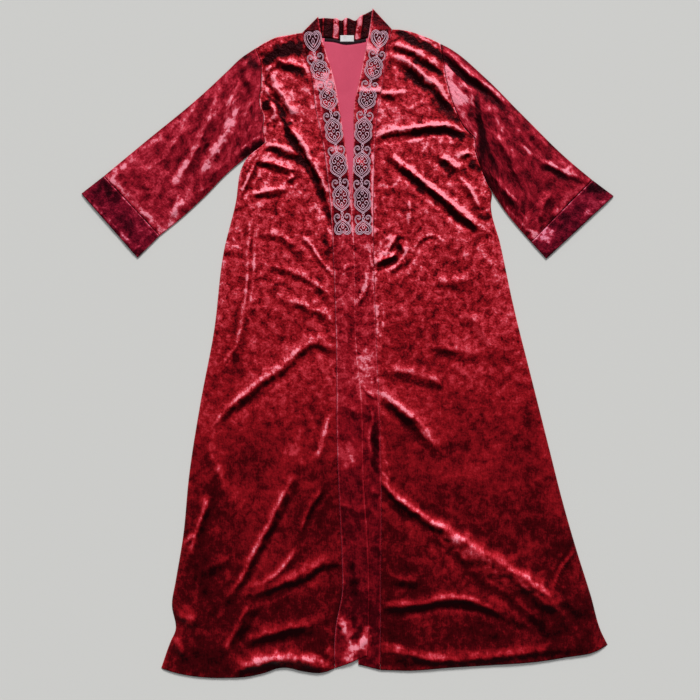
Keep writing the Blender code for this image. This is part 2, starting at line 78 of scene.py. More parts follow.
# %% Outlines
SHOULDER_RIGHT = ((-188, 604), (-171, 613), (-147, 624), (-118, 630), (-93, 635))
SHOULDER_LEFT = ((91, 642), (108, 641), (132, 636), (157, 627), (190, 613))
ARMHOLE_RIGHT = (
    (-188, 604), (-177, 572), (-176, 539), (-179, 484), (-172, 463), (-173, 435), (-169, 410),
)
ARMHOLE_LEFT = (
    (190, 613), (196, 578), (200, 549), (217, 488), (242, 437), (259, 420), (262, 392),
    (276, 351), (283, 332),
)
SIDE_RIGHT = (
    (-169, 410), (-208, 377), (-217, 359), (-229, 289), (-253, 191), (-274, 23), (-302, -125),
    (-325, -273), (-337, -396), (-352, -486), (-360, -535), (-353, -590), (-362, -610),
    (-382, -666),
)
SIDE_LEFT = (
    (283, 332), (296, 305), (294, 287), (313, 203), (341, 72), (378, -76), (415, -223),
    (440, -322), (468, -420), (499, -519), (520, -592), (533, -618),
)
HEM_RIGHT = (
    (-382, -666), (-343, -677), (-294, -684), (-245, -685), (-196, -681), (-165, -673),
    (-142, -665), (-122, -664), (-97, -670), (-52, -674), (-26, -666),
)
HEM_LEFT = (
    (67, -669), (132, -670), (206, -664), (304, -658), (403, -650), (452, -642), (501, -633),
    (533, -618),
)
BACK_HEM = (
    (-374, -658), (-294, -675), (-196, -672), (-130, -656), (-52, -664), (-20, -652),
    (36, -630), (67, -655), (132, -662), (304, -650), (452, -634), (524, -612),
)
BAND_SEAM_RIGHT = (
    (-93, 635), (-84, 592), (-75, 554), (-65, 476), (-52, 414), (-34, 260), (-29, 170),
    (-23, -14), (-21, -221), (-15, -361), (-11, -453), (-11, -510), (-24, -580), (-27, -625),
    (-26, -666),
)
BAND_EDGE_RIGHT = (
    (-60, 668), (-53, 627), (-43, 592), (-27, 539), (-13, 459), (1, 365), (10, 260), (15, 170),
    (19, -14), (29, -117), (34, -299), (41, -400), (44, -482), (44, -562), (40, -639),
)
BAND_SEAM_LEFT = (
    (91, 642), (79, 592), (74, 547), (61, 467), (54, 340), (54, 170), (60, -14), (64, -107),
    (68, -221), (69, -361), (68, -504), (67, -669),
)
BAND_EDGE_LEFT = (
    (51, 685), (43, 631), (37, 601), (23, 533), (14, 490), (13, 414), (8, 314), (9, 170),
    (15, -14), (19, -107), (23, -221), (24, -361), (23, -504), (22, -658),
)
NECK_SEAM = ((-91, 634), (-52, 625), (-28, 623), (-5, 618), (17, 620), (42, 625), (89, 640))
COLLAR_BRIM = (
    (-61, 665), (-40, 666), (-26, 664), (-13, 661), (1, 666), (16, 661), (27, 669), (50, 682),
)
SLEEVE_TOP_RIGHT = ((-188, 604), (-220, 582), (-245, 558), (-294, 512), (-417, 410), (-499, 342))
SLEEVE_FOOT_RIGHT = (
    (-169, 410), (-209.5, 379), (-245, 349), (-294, 299), (-343, 254), (-385, 220),
)
CUFF_SEAM_RIGHT = ((-499, 342), (-385, 220))
CUFF_END_RIGHT = ((-545, 306), (-430, 175))
SLEEVE_TOP_LEFT = ((190, 613), (206, 605), (280, 545), (354, 471), (452, 375), (501, 334))
SLEEVE_FOOT_LEFT = ((283, 332), (299, 306), (329, 262), (354, 232), (376, 207))
CUFF_SEAM_LEFT = ((501, 334), (376, 207))
CUFF_END_LEFT = ((545, 301), (407, 173))

# %% [markdown]
# ## Folds
#
# Nothing makes cloth look like cloth so much as where it folds.  A fold could
# be sculpted, or come from a simulation, but a laid-out robe has its own known
# folds, so each is a row here: the height of its crest, the width of its slope
# on the left and on the right of the way along it, the depth of the trough
# beside it, and the way itself.

# %% Fold tables
Fold = namedtuple("Fold", "height left right trough way")


def points_of(values):
    """x, y, x, y as a row of points."""
    return tuple(zip(values[::2], values[1::2]))


def fold_table(*rows):
    """Folds from rows of height, left, right, trough, and then the way as x, y, x, y."""
    return tuple(Fold(*row[:4], points_of(row[4:])) for row in rows)


FOLDS_RIGHT = fold_table(
    (4.5, 9, 8, 1, -150, 580, -120, 571, -85, 562),
    (5, 8, 7, 2, -158, 566, -170, 548, -181, 530),
    (4, 10, 7, 2, -150, 547, -149, 530, -144, 512),
    (6, 9, 8, 3, -159, 527, -136, 508, -120, 484, -101, 461),
    (3.5, 5, 5, 2, -176, 520, -160, 512, -144, 506),
    (5, 6, 7, 2, -158, 488, -148, 470, -146, 452),
    (8, 13, 7, 4, -122, 445, -104, 422, -83, 392, -69, 361, -54, 332, -42, 301, -30, 262),
    (4, 8, 7, 1, -163, 408, -130, 398, -97, 381),
    (4.5, 8, 7, 2, -180, 374, -140, 362, -105, 352),
    (4, 8, 7, 1, -194, 302, -153, 312, -120, 314),
    (3, 6, 6, 1, -124, 330, -108, 342),
    (4, 5, 5, 2, -222, 300, -208, 326, -192, 360),
    (1.7, 8, 8, 1, -178, 226, -140, 220, -118, 206, -97, 182),
    (2.4, 4, 5, 1, -91, 219, -71, 195, -56, 172, -42, 154, -28, 137),
    (2.4, 9, 7, 1, -159, 162, -124, 148, -85, 135, -59, 117, -42, 100, -28, 80),
    (2.5, 9, 8, 1, -138, 92, -85, 76, -52, 62, -27, 36),
    (5.6, 16, 10, 3, -222, -122, -181, -84, -140, -54, -101, -18, -62, 4, -30, -14),
    (3.4, 4, 5, 1, -200, 242, -204, 180, -205, 115, -217, 45, -226, 0, -262, -58),
    (2.2, 4, 4, 1, -188, 228, -191, 150, -196, 90, -206, 47),
    (5, 8, 8, 2, -270, -166, -253, -143, -218, -114, -190, -90),
    (4, 7, 7, 1, -36, -146, -46, -189, -58, -240),
    (4.2, 7, 8, 2, -245, -521, -220, -486, -200, -445, -188, -420, -167, -383, -145, -334,
     -126, -301, -116, -279),
    (2.6, 6, 6, 1, -95, -388, -84, -348, -52, -297),
    (5, 7, 8, 2, -319, -428, -308, -387, -291, -328, -291, -305),
    (3, 5, 5, 1, -336, -412, -314, -390),
    (3.2, 8, 8, 1, -183, -496, -134, -462, -106, -422),
    (5.2, 14, 8, 3, -192, -514, -134, -492, -89, -474, -54, -452, -24, -446),
    (3.6, 9, 8, 2, -250, -628, -225, -580, -197, -532),
    (3.4, 14, 10, 2, -215, -616, -160, -594, -110, -582, -62, -574),
    (9, 16, 11, 0, -225, -668, -180, -650, -142, -642, -90, -648, -52, -660),
    (6, 22, 14, 1, -352, -552, -330, -560, -305, -566),
    (4, 9, 9, 1, -356, -600, -335, -640),
    (2, 10, 9, 1, -300, -470, -272, -452, -240, -440),
    (3, 9, 9, 1, -285, -215, -262, -260, -250, -310),
)

FOLDS_LEFT = fold_table(
    (5, 8, 7, 3, 95, 611, 130, 597, 167, 576, 192, 560),
    (7, 10, 8, 3, 97, 590, 128, 568, 155, 543, 184, 523, 202, 500, 222, 474),
    (3, 7, 7, 1, 60, 508, 118, 512),
    (8, 9, 7, 5, 58, 422, 87, 431, 132, 437, 181, 443, 204, 442, 239, 433),
    (6, 10, 8, 3, 84, 384, 147, 335, 202, 290, 243, 256, 280, 230),
    (4, 8, 7, 1, 192, 380, 231, 352),
    (4, 7, 6, 1, 229, 383, 258, 390),
    (5, 8, 7, 1, 237, 330, 270, 278),
    (1.3, 4, 4, 1, 98, 128, 128, 176, 153, 213, 171, 220, 194, 209),
    (3.5, 4, 4, 1, 126, 292, 127, 262, 127, 232),
    (4, 5, 5, 2, 70, 176, 88, 198, 102, 222),
    (6, 10, 7, 5, 40, 170, 67, 167, 101, 180),
    (3.5, 6, 6, 2, 82, 150, 103, 158, 116, 182),
    (3, 5, 5, 2, 108, 205, 120, 182, 116, 158),
    (3, 13, 12, 1, 181, 122, 255, 134),
    (1.6, 12, 10, 1, 181, -6, 240, -18, 298, -28),
    (2.6, 11, 9, 1, 67, -57, 145, -63, 184, -80, 200, -92),
    (6, 11, 10, 2, 72, -102, 108, -132, 140, -156, 163, -187, 183, -216),
    (7, 10, 8, 4, 66, -270, 79, -295, 108, -322, 151, -351, 190, -377, 229, -402),
    (11.4, 17, 26, 3, 170, -366, 229, -402, 272, -428, 317, -453, 354, -476, 386, -498, 421,
     -533, 442, -564),
    (4.4, 10, 8, 4, 72, -538, 140, -534, 204, -522, 259, -528, 308, -548),
    (3.4, 10, 9, 0, 72, -628, 122, -634, 173, -647, 204, -648, 298, -642, 397, -628),
    (3, 4, 4, 1, 466, -420, 436, -462, 420, -508),
    (2.5, 14, 12, 1, 415, -524, 450, -530, 474, -552),
    (2, 12, 12, 1, 250, 60, 280, 20, 300, -30),
    (2, 9, 9, 1, 80, -470, 110, -482, 150, -486),
)

SLEEVE_FOLDS_RIGHT = fold_table(
    (5, 9, 9, 2, -226, 525, -240, 480, -252, 424, -294, 355),
    (4.5, 9, 8, 2, -262, 500, -284, 450, -304, 404, -330, 357, -354, 320),
    (3, 8, 8, 1, -340, 290, -362, 252),
    (4, 6, 6, 2, -205, 596, -208, 560, -200, 520),
    (3, 7, 7, 1, -192, 500, -204, 462, -200, 420),
    (3, 9, 9, 1, -330, 440, -370, 380),
    (2.5, 8, 8, 1, -420, 350, -408, 310),
)

SLEEVE_FOLDS_LEFT = fold_table(
    (5, 7, 6, 4, 196, 604, 224, 572, 255, 543, 288, 521, 329, 490),
    (1.4, 7, 6, 1, 390, 375, 427, 357, 446, 348, 467, 341, 480, 335),
    (3.5, 8, 8, 1, 235, 530, 262, 490, 272, 450),
    (3.5, 9, 8, 1, 300, 430, 330, 380, 350, 330),
    (3, 8, 8, 1, 290, 350, 330, 300, 352, 262),
    (3, 9, 9, 1, 420, 310, 400, 280, 392, 250),
    (2.5, 8, 8, 1, 380, 430, 410, 400),
)

# Ridges that cross the bands
FOLDS_BAND_RIGHT = fold_table(
    (2.0, 7, 7, 1, -11, 146, 4, 158, 16, 160),
    (2.5, 12, 9, 1, -16, -560, 2, -600, 28, -570),
    (3.0, 9, 9, 1, 2, -660, 24, -620, 42, -600),
    (1.6, 10, 10, 0, -14, -120, 20, -140),
    (1.6, 12, 12, 0, -12, -330, 30, -344),
)
FOLDS_BAND_LEFT = fold_table(
    (3.0, 6, 6, 2, 18, 78, 36, 106, 40, 150),
    (2.0, 6, 5, 1, 28, -84, 48, -106, 62, -112),
    (1.6, 9, 9, 0, 46, -300, 66, -310),
    (2.5, 5, 5, 1, 16, 515, 44, 514, 76, 515),
)

# %% [markdown]
# ## Outlines, panels and relief
#
# Between its table points a cut edge is a smooth curve.  A panel could be cut
# out of a flat sheet, but then its threads would not follow its seams.  So it
# is a patch stretched between four edges, which a grid of rows and columns
# fills, and the same grid carries the cloth's own directions.

# %% Curves and grids
def smooth(value, low, high):
    """0 below low, 1 above high, and 3t^2 - 2t^3 between."""
    t = np.clip((value - low) / (high - low), 0.0, 1.0)
    return t * t * (3.0 - 2.0 * t)


def soften(outline, steps=16):
    """A smooth curve through the outline's points: a cubic on each stretch, whose
    slope at a point is that of the line between the point's neighbours."""
    p = np.array(outline, dtype=float)
    if len(p) < 3:
        return p
    chord = np.linalg.norm(np.diff(p, axis=0), axis=1)
    slope = np.gradient(p, np.concatenate(([0.0], np.cumsum(chord))), axis=0)
    t = np.linspace(0.0, 1.0, steps, endpoint=False)[:, None, None]
    a, b, m, n = p[:-1], p[1:], slope[:-1] * chord[:, None], slope[1:] * chord[:, None]
    curve = (
        (2 * t**3 - 3 * t**2 + 1) * a + (t**3 - 2 * t**2 + t) * m
        + (3 * t**2 - 2 * t**3) * b + (t**3 - t**2) * n
    )
    return np.vstack([curve.transpose(1, 0, 2).reshape(-1, 2), p[-1]])


def at_fractions(curve, fractions):
    """Points at these fractions of the curve's length."""
    length = np.linalg.norm(np.diff(curve, axis=0), axis=1)
    gone = np.concatenate(([0.0], np.cumsum(length))) / length.sum()
    return np.stack([np.interp(fractions, gone, curve[:, k]) for k in (0, 1)], axis=-1)


def at_down(curve, down):
    """Points at these fractions of the way from the curve's first y to its last."""
    gone = (curve[0, 1] - curve[:, 1]) / (curve[0, 1] - curve[-1, 1])
    gone = np.maximum.accumulate(gone)
    return np.stack([np.interp(down, gone, curve[:, k]) for k in (0, 1)], axis=-1)


def x_at(curve, y):
    """The curve's x at these heights y, where the curve runs down the robe."""
    return np.interp(-y, -curve[:, 1], curve[:, 0])


def fill_panel(west, east, top, bottom, across, down):
    """Points between four edges: (1-u) west + u east, plus what the top and the
    bottom edge bow away from straight, dying away down the panel."""
    u, v = across[..., None], down[:, None, None]
    straight = (1 - u) * west[:, None] + u * east[:, None]
    top_bow = at_fractions(top, across) - ((1 - u) * west[0] + u * east[0])
    bottom_bow = at_fractions(bottom, across) - ((1 - u) * west[-1] + u * east[-1])
    return straight + (1 - v) * top_bow + v * bottom_bow


# A cut edge is rounded, so grid lines crowd together beside it
CROWD = np.array([0.0, 0.25, 0.7, 1.4, 2.4])
EDGE_ROUND = 2.0


def crowd(width, cells):
    """Distances from 0 to width, for each width, with lines crowded at both ends."""
    width = np.atleast_1d(width).astype(float)[:, None]
    middle = np.linspace(0.0, 1.0, cells)[None, 1:-1]
    inner = CROWD[-1] + (width - 2 * CROWD[-1]) * middle
    near = np.tile(CROWD, (len(width), 1))
    return np.hstack([near, inner, width - near[:, ::-1]])


def rounding(distance):
    """How full a wall is at this distance from its edge: a quarter circle."""
    t = np.clip(distance / EDGE_ROUND, 0.0, 1.0)
    return 0.12 + 0.88 * np.sqrt(1.0 - (1.0 - t) ** 2)


# %% Relief
WAY_STEPS = 5
FOLD_END = (-0.10, 0.25)
FOLD_REACH = 3.5
TROUGH_AWAY = 1.9
CREST_WIDTH, CREST_POWER = 0.85, 1.5

# Noises that bend the crests and that raise and lower them: share, cell, seed
FOLD_WANDER = ((0.22, 19.0, 323), (0.12, 9.0, 325))
FOLD_SWELL = ((0.22, 24.0, 327),)


def near_way(x, y, way, reach):
    """Which places lie within reach of the box round a way."""
    low, high = way.min(axis=0) - reach, way.max(axis=0) + reach
    return (x > low[0]) & (x < high[0]) & (y > low[1]) & (y < high[1])


def beside_way(x, y, way):
    """The distance of each place from a way, above zero on its left, and how far
    along the way that is, as a share of its length."""
    nearest = np.full(x.shape, np.inf)
    off, along = np.zeros_like(x), np.zeros_like(x)
    lengths = np.linalg.norm(np.diff(way, axis=0), axis=1)
    passed = 0.0
    for start, end, length in zip(way[:-1], way[1:], lengths):
        ex, ey = (end - start) / length
        dx, dy = x - start[0], y - start[1]
        step = np.clip(dx * ex + dy * ey, 0.0, length)
        distance = np.hypot(dx - step * ex, dy - step * ey)
        closer = distance < nearest
        nearest = np.where(closer, distance, nearest)
        off = np.where(closer, distance * np.sign(ex * dy - ey * dx), off)
        along = np.where(closer, passed + step, along)
        passed += length
    return off, along / passed


def fold_relief(x, y, folds):
    """Height that the folds give: for each one height * exp(-(distance/width)^1.5),
    which keeps a crisp crest, less a trough beside it, with ends that die away.
    Noise makes the crest wander and rise and sink along its way."""
    relief = np.zeros_like(x)
    wander = drift(x, y, FOLD_WANDER)
    swell = 1.0 + drift(x, y, FOLD_SWELL)
    for fold in folds:
        way = soften(fold.way, WAY_STEPS)
        near = near_way(x, y, way, FOLD_REACH * max(fold.left, fold.right))
        off, share = beside_way(x[near], y[near], way)
        ends = smooth(np.minimum(share, 1 - share), *FOLD_END)
        off = off + 0.5 * (fold.left + fold.right) * wander[near]
        width = np.where(off > 0, fold.left, fold.right)
        ridge = fold.height * np.exp(-(np.abs(off / (CREST_WIDTH * width)) ** CREST_POWER))
        trough = fold.trough * np.exp(-((off / fold.right + TROUGH_AWAY) ** 2))
        relief[near] += ends * swell[near] * (ridge - trough)
    return relief


KNOTS = 128


def lattice_noise(x, y, cell, seed):
    """Smooth random heights from -1 to 1: values on a lattice of this cell size,
    blended with 3t^2 - 2t^3 between its knots."""
    knots = np.random.default_rng(seed).uniform(-1.0, 1.0, (KNOTS, KNOTS))
    gx, gy = x / cell, y / cell
    ix, iy = np.floor(gx).astype(int), np.floor(gy).astype(int)
    fx, fy = gx - ix, gy - iy
    fx, fy = fx * fx * (3 - 2 * fx), fy * fy * (3 - 2 * fy)
    ix, iy, jx, jy = ix % KNOTS, iy % KNOTS, (ix + 1) % KNOTS, (iy + 1) % KNOTS
    low = knots[iy, ix] * (1 - fx) + knots[iy, jx] * fx
    high = knots[jy, ix] * (1 - fx) + knots[jy, jx] * fx
    return low * (1 - fy) + high * fy


def drift(x, y, parts):
    """Noises added up; each part is its share, its cell and its seed."""
    return sum(share * lattice_noise(x, y, cell, seed) for share, cell, seed in parts)


# The ways of the creases: turn, cell and share
CREASE_WAYS = ((0.65, 15.0, 0.9), (-0.85, 12.0, 0.8), (1.45, 9.0, 0.6), (-0.15, 8.0, 0.5))
CREASE_LONG = 3.0
CREASE_BEND, CREASE_BEND_CELL = 9.0, 36.0
CREASE_UPPER = (0.1, 0.9)


def crinkle(x, y, seed):
    """Fine creases of crushed velvet, 0 to about 1: short ridges in four ways, each
    the upper part of a noise stretched along its way and bent by a slower one."""
    bend = CREASE_BEND * lattice_noise(x, y, CREASE_BEND_CELL, seed)
    height = np.zeros_like(x)
    for k, (turn, cell, share) in enumerate(CREASE_WAYS):
        ex, ey = np.cos(turn), np.sin(turn)
        along, across = (x * ex + y * ey) / CREASE_LONG, y * ex - x * ey
        ridges = lattice_noise(along, across + bend, cell, seed + 2 + k)
        height += share * smooth(ridges, *CREASE_UPPER)
    return height


# %% [markdown]
# ## From grid to mesh
#
# A wall of cloth is two grids, one for each face, joined round the rim.  The
# arrays go into the mesh whole, because a loop over tens of thousands of points
# would take minutes.  Each mesh also gets a map in metres along the cloth's
# own grain, and a tone for each point, with painted highlights and painted
# shade in it.

# %% Meshes
def put_mesh(name, points, quads, grain, tone_and_painted_light):
    """A mesh from points in millimetres, four-cornered faces and a map in metres."""
    mesh = bpy.data.meshes.new(name)
    mesh.vertices.add(len(points))
    mesh.vertices.foreach_set("co", (points * MM).astype(np.float32).ravel())
    mesh.loops.add(quads.size)
    mesh.loops.foreach_set("vertex_index", quads.astype(np.int32).ravel())
    mesh.polygons.add(len(quads))
    mesh.polygons.foreach_set("loop_start", np.arange(0, quads.size, 4, dtype=np.int32))
    uv = mesh.uv_layers.new(name="grain")
    uv.data.foreach_set("uv", (grain[quads.ravel()] * MM).astype(np.float32).ravel())
    # Each point's tone, with its painted highlights and painted shade
    value = mesh.attributes.new("tone_and_painted_light", "FLOAT", "POINT")
    value.data.foreach_set("value", tone_and_painted_light.astype(np.float32))
    mesh.polygons.foreach_set("use_smooth", np.ones(len(quads), dtype=bool))
    mesh.update(calc_edges=True)
    mesh.validate()
    piece = bpy.data.objects.new(name, mesh)
    bpy.context.scene.collection.objects.link(piece)
    return piece


def grid_quads(rows, columns):
    """Faces of a grid whose rows run down and whose columns run to the east."""
    a = (np.arange(rows - 1)[:, None] * columns + np.arange(columns - 1)).ravel()
    return np.stack([a, a + columns, a + columns + 1, a + 1], axis=1)


def tell(*pieces):
    """Prints how many faces each piece has."""
    for piece in pieces:
        print(piece.name, "faces:", len(piece.data.polygons))


# %% [markdown]
# ## Tone and painted light
#
# Velvet is light or dark by the way its pile lies, and crushing turns it
# everywhere.  A painted picture could carry that, but it would be one more
# file, and blurred close up.  So each point of the mesh gets a tone instead:
# one for its zone, darker towards the hem; wide patches, partly the pile's own
# tone and partly painted shade and painted light; long strokes of painted
# highlight and painted shade along folds and creases; and a painted highlight
# on slopes that face the light, with painted shade on slopes that face away.

# %% Painted shine and shade of slopes and crests
def blur(height, passes):
    """Each point's height averaged with its neighbours', many times over."""
    for _ in range(passes):
        wide = np.pad(height, 1, mode="edge")
        height = (wide[:-2, 1:-1] + wide[2:, 1:-1] + wide[1:-1, :-2] + wide[1:-1, 2:]) / 4
    return height


# Painted highlight on slopes that face the light and on crests, painted shade on slopes that face
# away and in hollows
SHINE_DOWN = (-100, 350)
SHINE_LIT = (0.34, 0.43)
SHADE, SHINE_STEEP = 0.42, 1.9
CREST_SHINE, HOLLOW_SHADE = 0.17, 0.09
CREST_BLUR, CREST_FULL = 24, 1.6
SHINE_BROKEN = ((0.5, 9.0, 317),)
LIGHT_WAY = (-0.10, 0.995)
LEAST_AREA = 0.01


def tone_with_painted_light(plan, height, zone, gleam=1.0):
    """Each place's tone with painted light, about 0 to 1.  To the tone of its zone
    come a painted highlight on slopes that face the light and painted shade on
    slopes that face away, from dh/dx and dh/dy on the bent grid, and a little
    painted highlight on crests and painted shade in hollows."""
    x, y = plan[..., 0], plan[..., 1]
    x_r, x_c = np.gradient(x)
    y_r, y_c = np.gradient(y)
    h_r, h_c = np.gradient(height)
    area = x_c * y_r - x_r * y_c
    area = np.where(np.abs(area) < LEAST_AREA, LEAST_AREA * np.sign(area + 1e-9), area)
    slope_x = (h_c * y_r - h_r * y_c) / area
    slope_y = (x_c * h_r - x_r * h_c) / area
    facing = -(slope_x * LIGHT_WAY[0] + slope_y * LIGHT_WAY[1])
    crest = np.clip((height - blur(height, CREST_BLUR)) / CREST_FULL, -1.0, 1.0)
    crest = np.where(crest > 0, gleam * CREST_SHINE * crest**2, HOLLOW_SHADE * crest)
    lit = np.where(facing > 0, np.interp(y, SHINE_DOWN, SHINE_LIT), SHADE)
    lit = lit * (1.0 + drift(x, y, SHINE_BROKEN))
    return zone + lit * np.tanh(SHINE_STEEP * facing) + crest


# %% Zones, and patches of tone and painted light
# The tone of each zone, by its height up the robe
ZONE_HEIGHTS = (-680, -600, -520, -420, -330, -240, -100, 50, 180, 650)
ZONE_TONES = (0.30, 0.26, 0.27, 0.30, 0.33, 0.38, 0.44, 0.50, 0.54, 0.55)

# Patches of darker or brighter tone, partly the pile's own tone and partly painted shade and
# painted light: x, y, reach across, reach up, change of tone
TONE_AND_LIGHT_PATCHES = (
    (-128, 604, 62, 16, -0.10), (-160, 560, 14, 20, 0.10), (-135, 548, 22, 20, 0.10),
    (-168, 440, 12, 22, 0.12), (-112, 400, 40, 30, 0.02), (-80, 470, 24, 60, 0.02),
    (90, 470, 30, 40, 0.08), (190, 470, 18, 22, -0.14), (262, 372, 14, 22, -0.12),
    (150, 300, 60, 30, 0.03), (90, 165, 26, 12, -0.22), (-30, 230, 10, 60, -0.18),
    (-330, -585, 30, 22, 0.16), (-203, -296, 40, 24, 0.07), (-104, -224, 40, 16, 0.10),
    (340, -450, 40, 24, 0.05), (90, -560, 40, 10, -0.06), (-60, -360, 30, 60, -0.08),
    (250, -330, 60, 40, 0.02), (100, -230, 40, 50, -0.04), (-300, -640, 60, 24, -0.08),
    (450, -380, 30, 120, -0.06), (-225, 20, 20, 60, -0.10), (-240, -90, 30, 40, -0.04),
    (60, -100, 14, 30, 0.10), (-290, -480, 20, 90, -0.08), (-185, 60, 40, 60, 0.05),
    (260, -590, 60, 30, -0.06), (120, -470, 50, 30, -0.12), (-210, -360, 50, 60, -0.05),
    (-110, 490, 60, 50, 0.05), (215, 350, 50, 60, 0.07), (-140, -570, 120, 80, -0.04),
    (530, -620, 70, 24, -0.10), (-75, -230, 30, 20, 0.06), (0, -60, 40, 90, 0.03),
    (475, -575, 60, 60, -0.07), (-315, -300, 26, 120, -0.08), (375, -110, 26, 130, -0.07),
    (-130, -380, 150, 110, 0.035),
)
# Patches on the sleeves and cuffs, partly the pile's own tone and partly painted shade and
# painted light
SLEEVE_TONE_AND_LIGHT_PATCHES = (
    (-265, 484, 12, 13, 0.06), (-212, 575, 28, 26, -0.12), (-195, 470, 12, 60, -0.05),
    (354, 480, 34, 22, -0.10), (292, 314, 16, 55, -0.12), (-500, 300, 22, 16, -0.10),
    (440, 232, 20, 14, -0.06), (330, 430, 30, 40, 0.04), (430, 300, 30, 24, 0.03),
)

# %% Strokes
# Painted highlights and painted shade along folds and creases, a row each: change of tone, width,
# then x, y along the way
Stroke = namedtuple("Stroke", "tone width way")


def stroke_table(*rows):
    """Strokes from rows of tone, width, and then the way as x, y, x, y."""
    return tuple(Stroke(*row[:2], points_of(row[2:])) for row in rows)


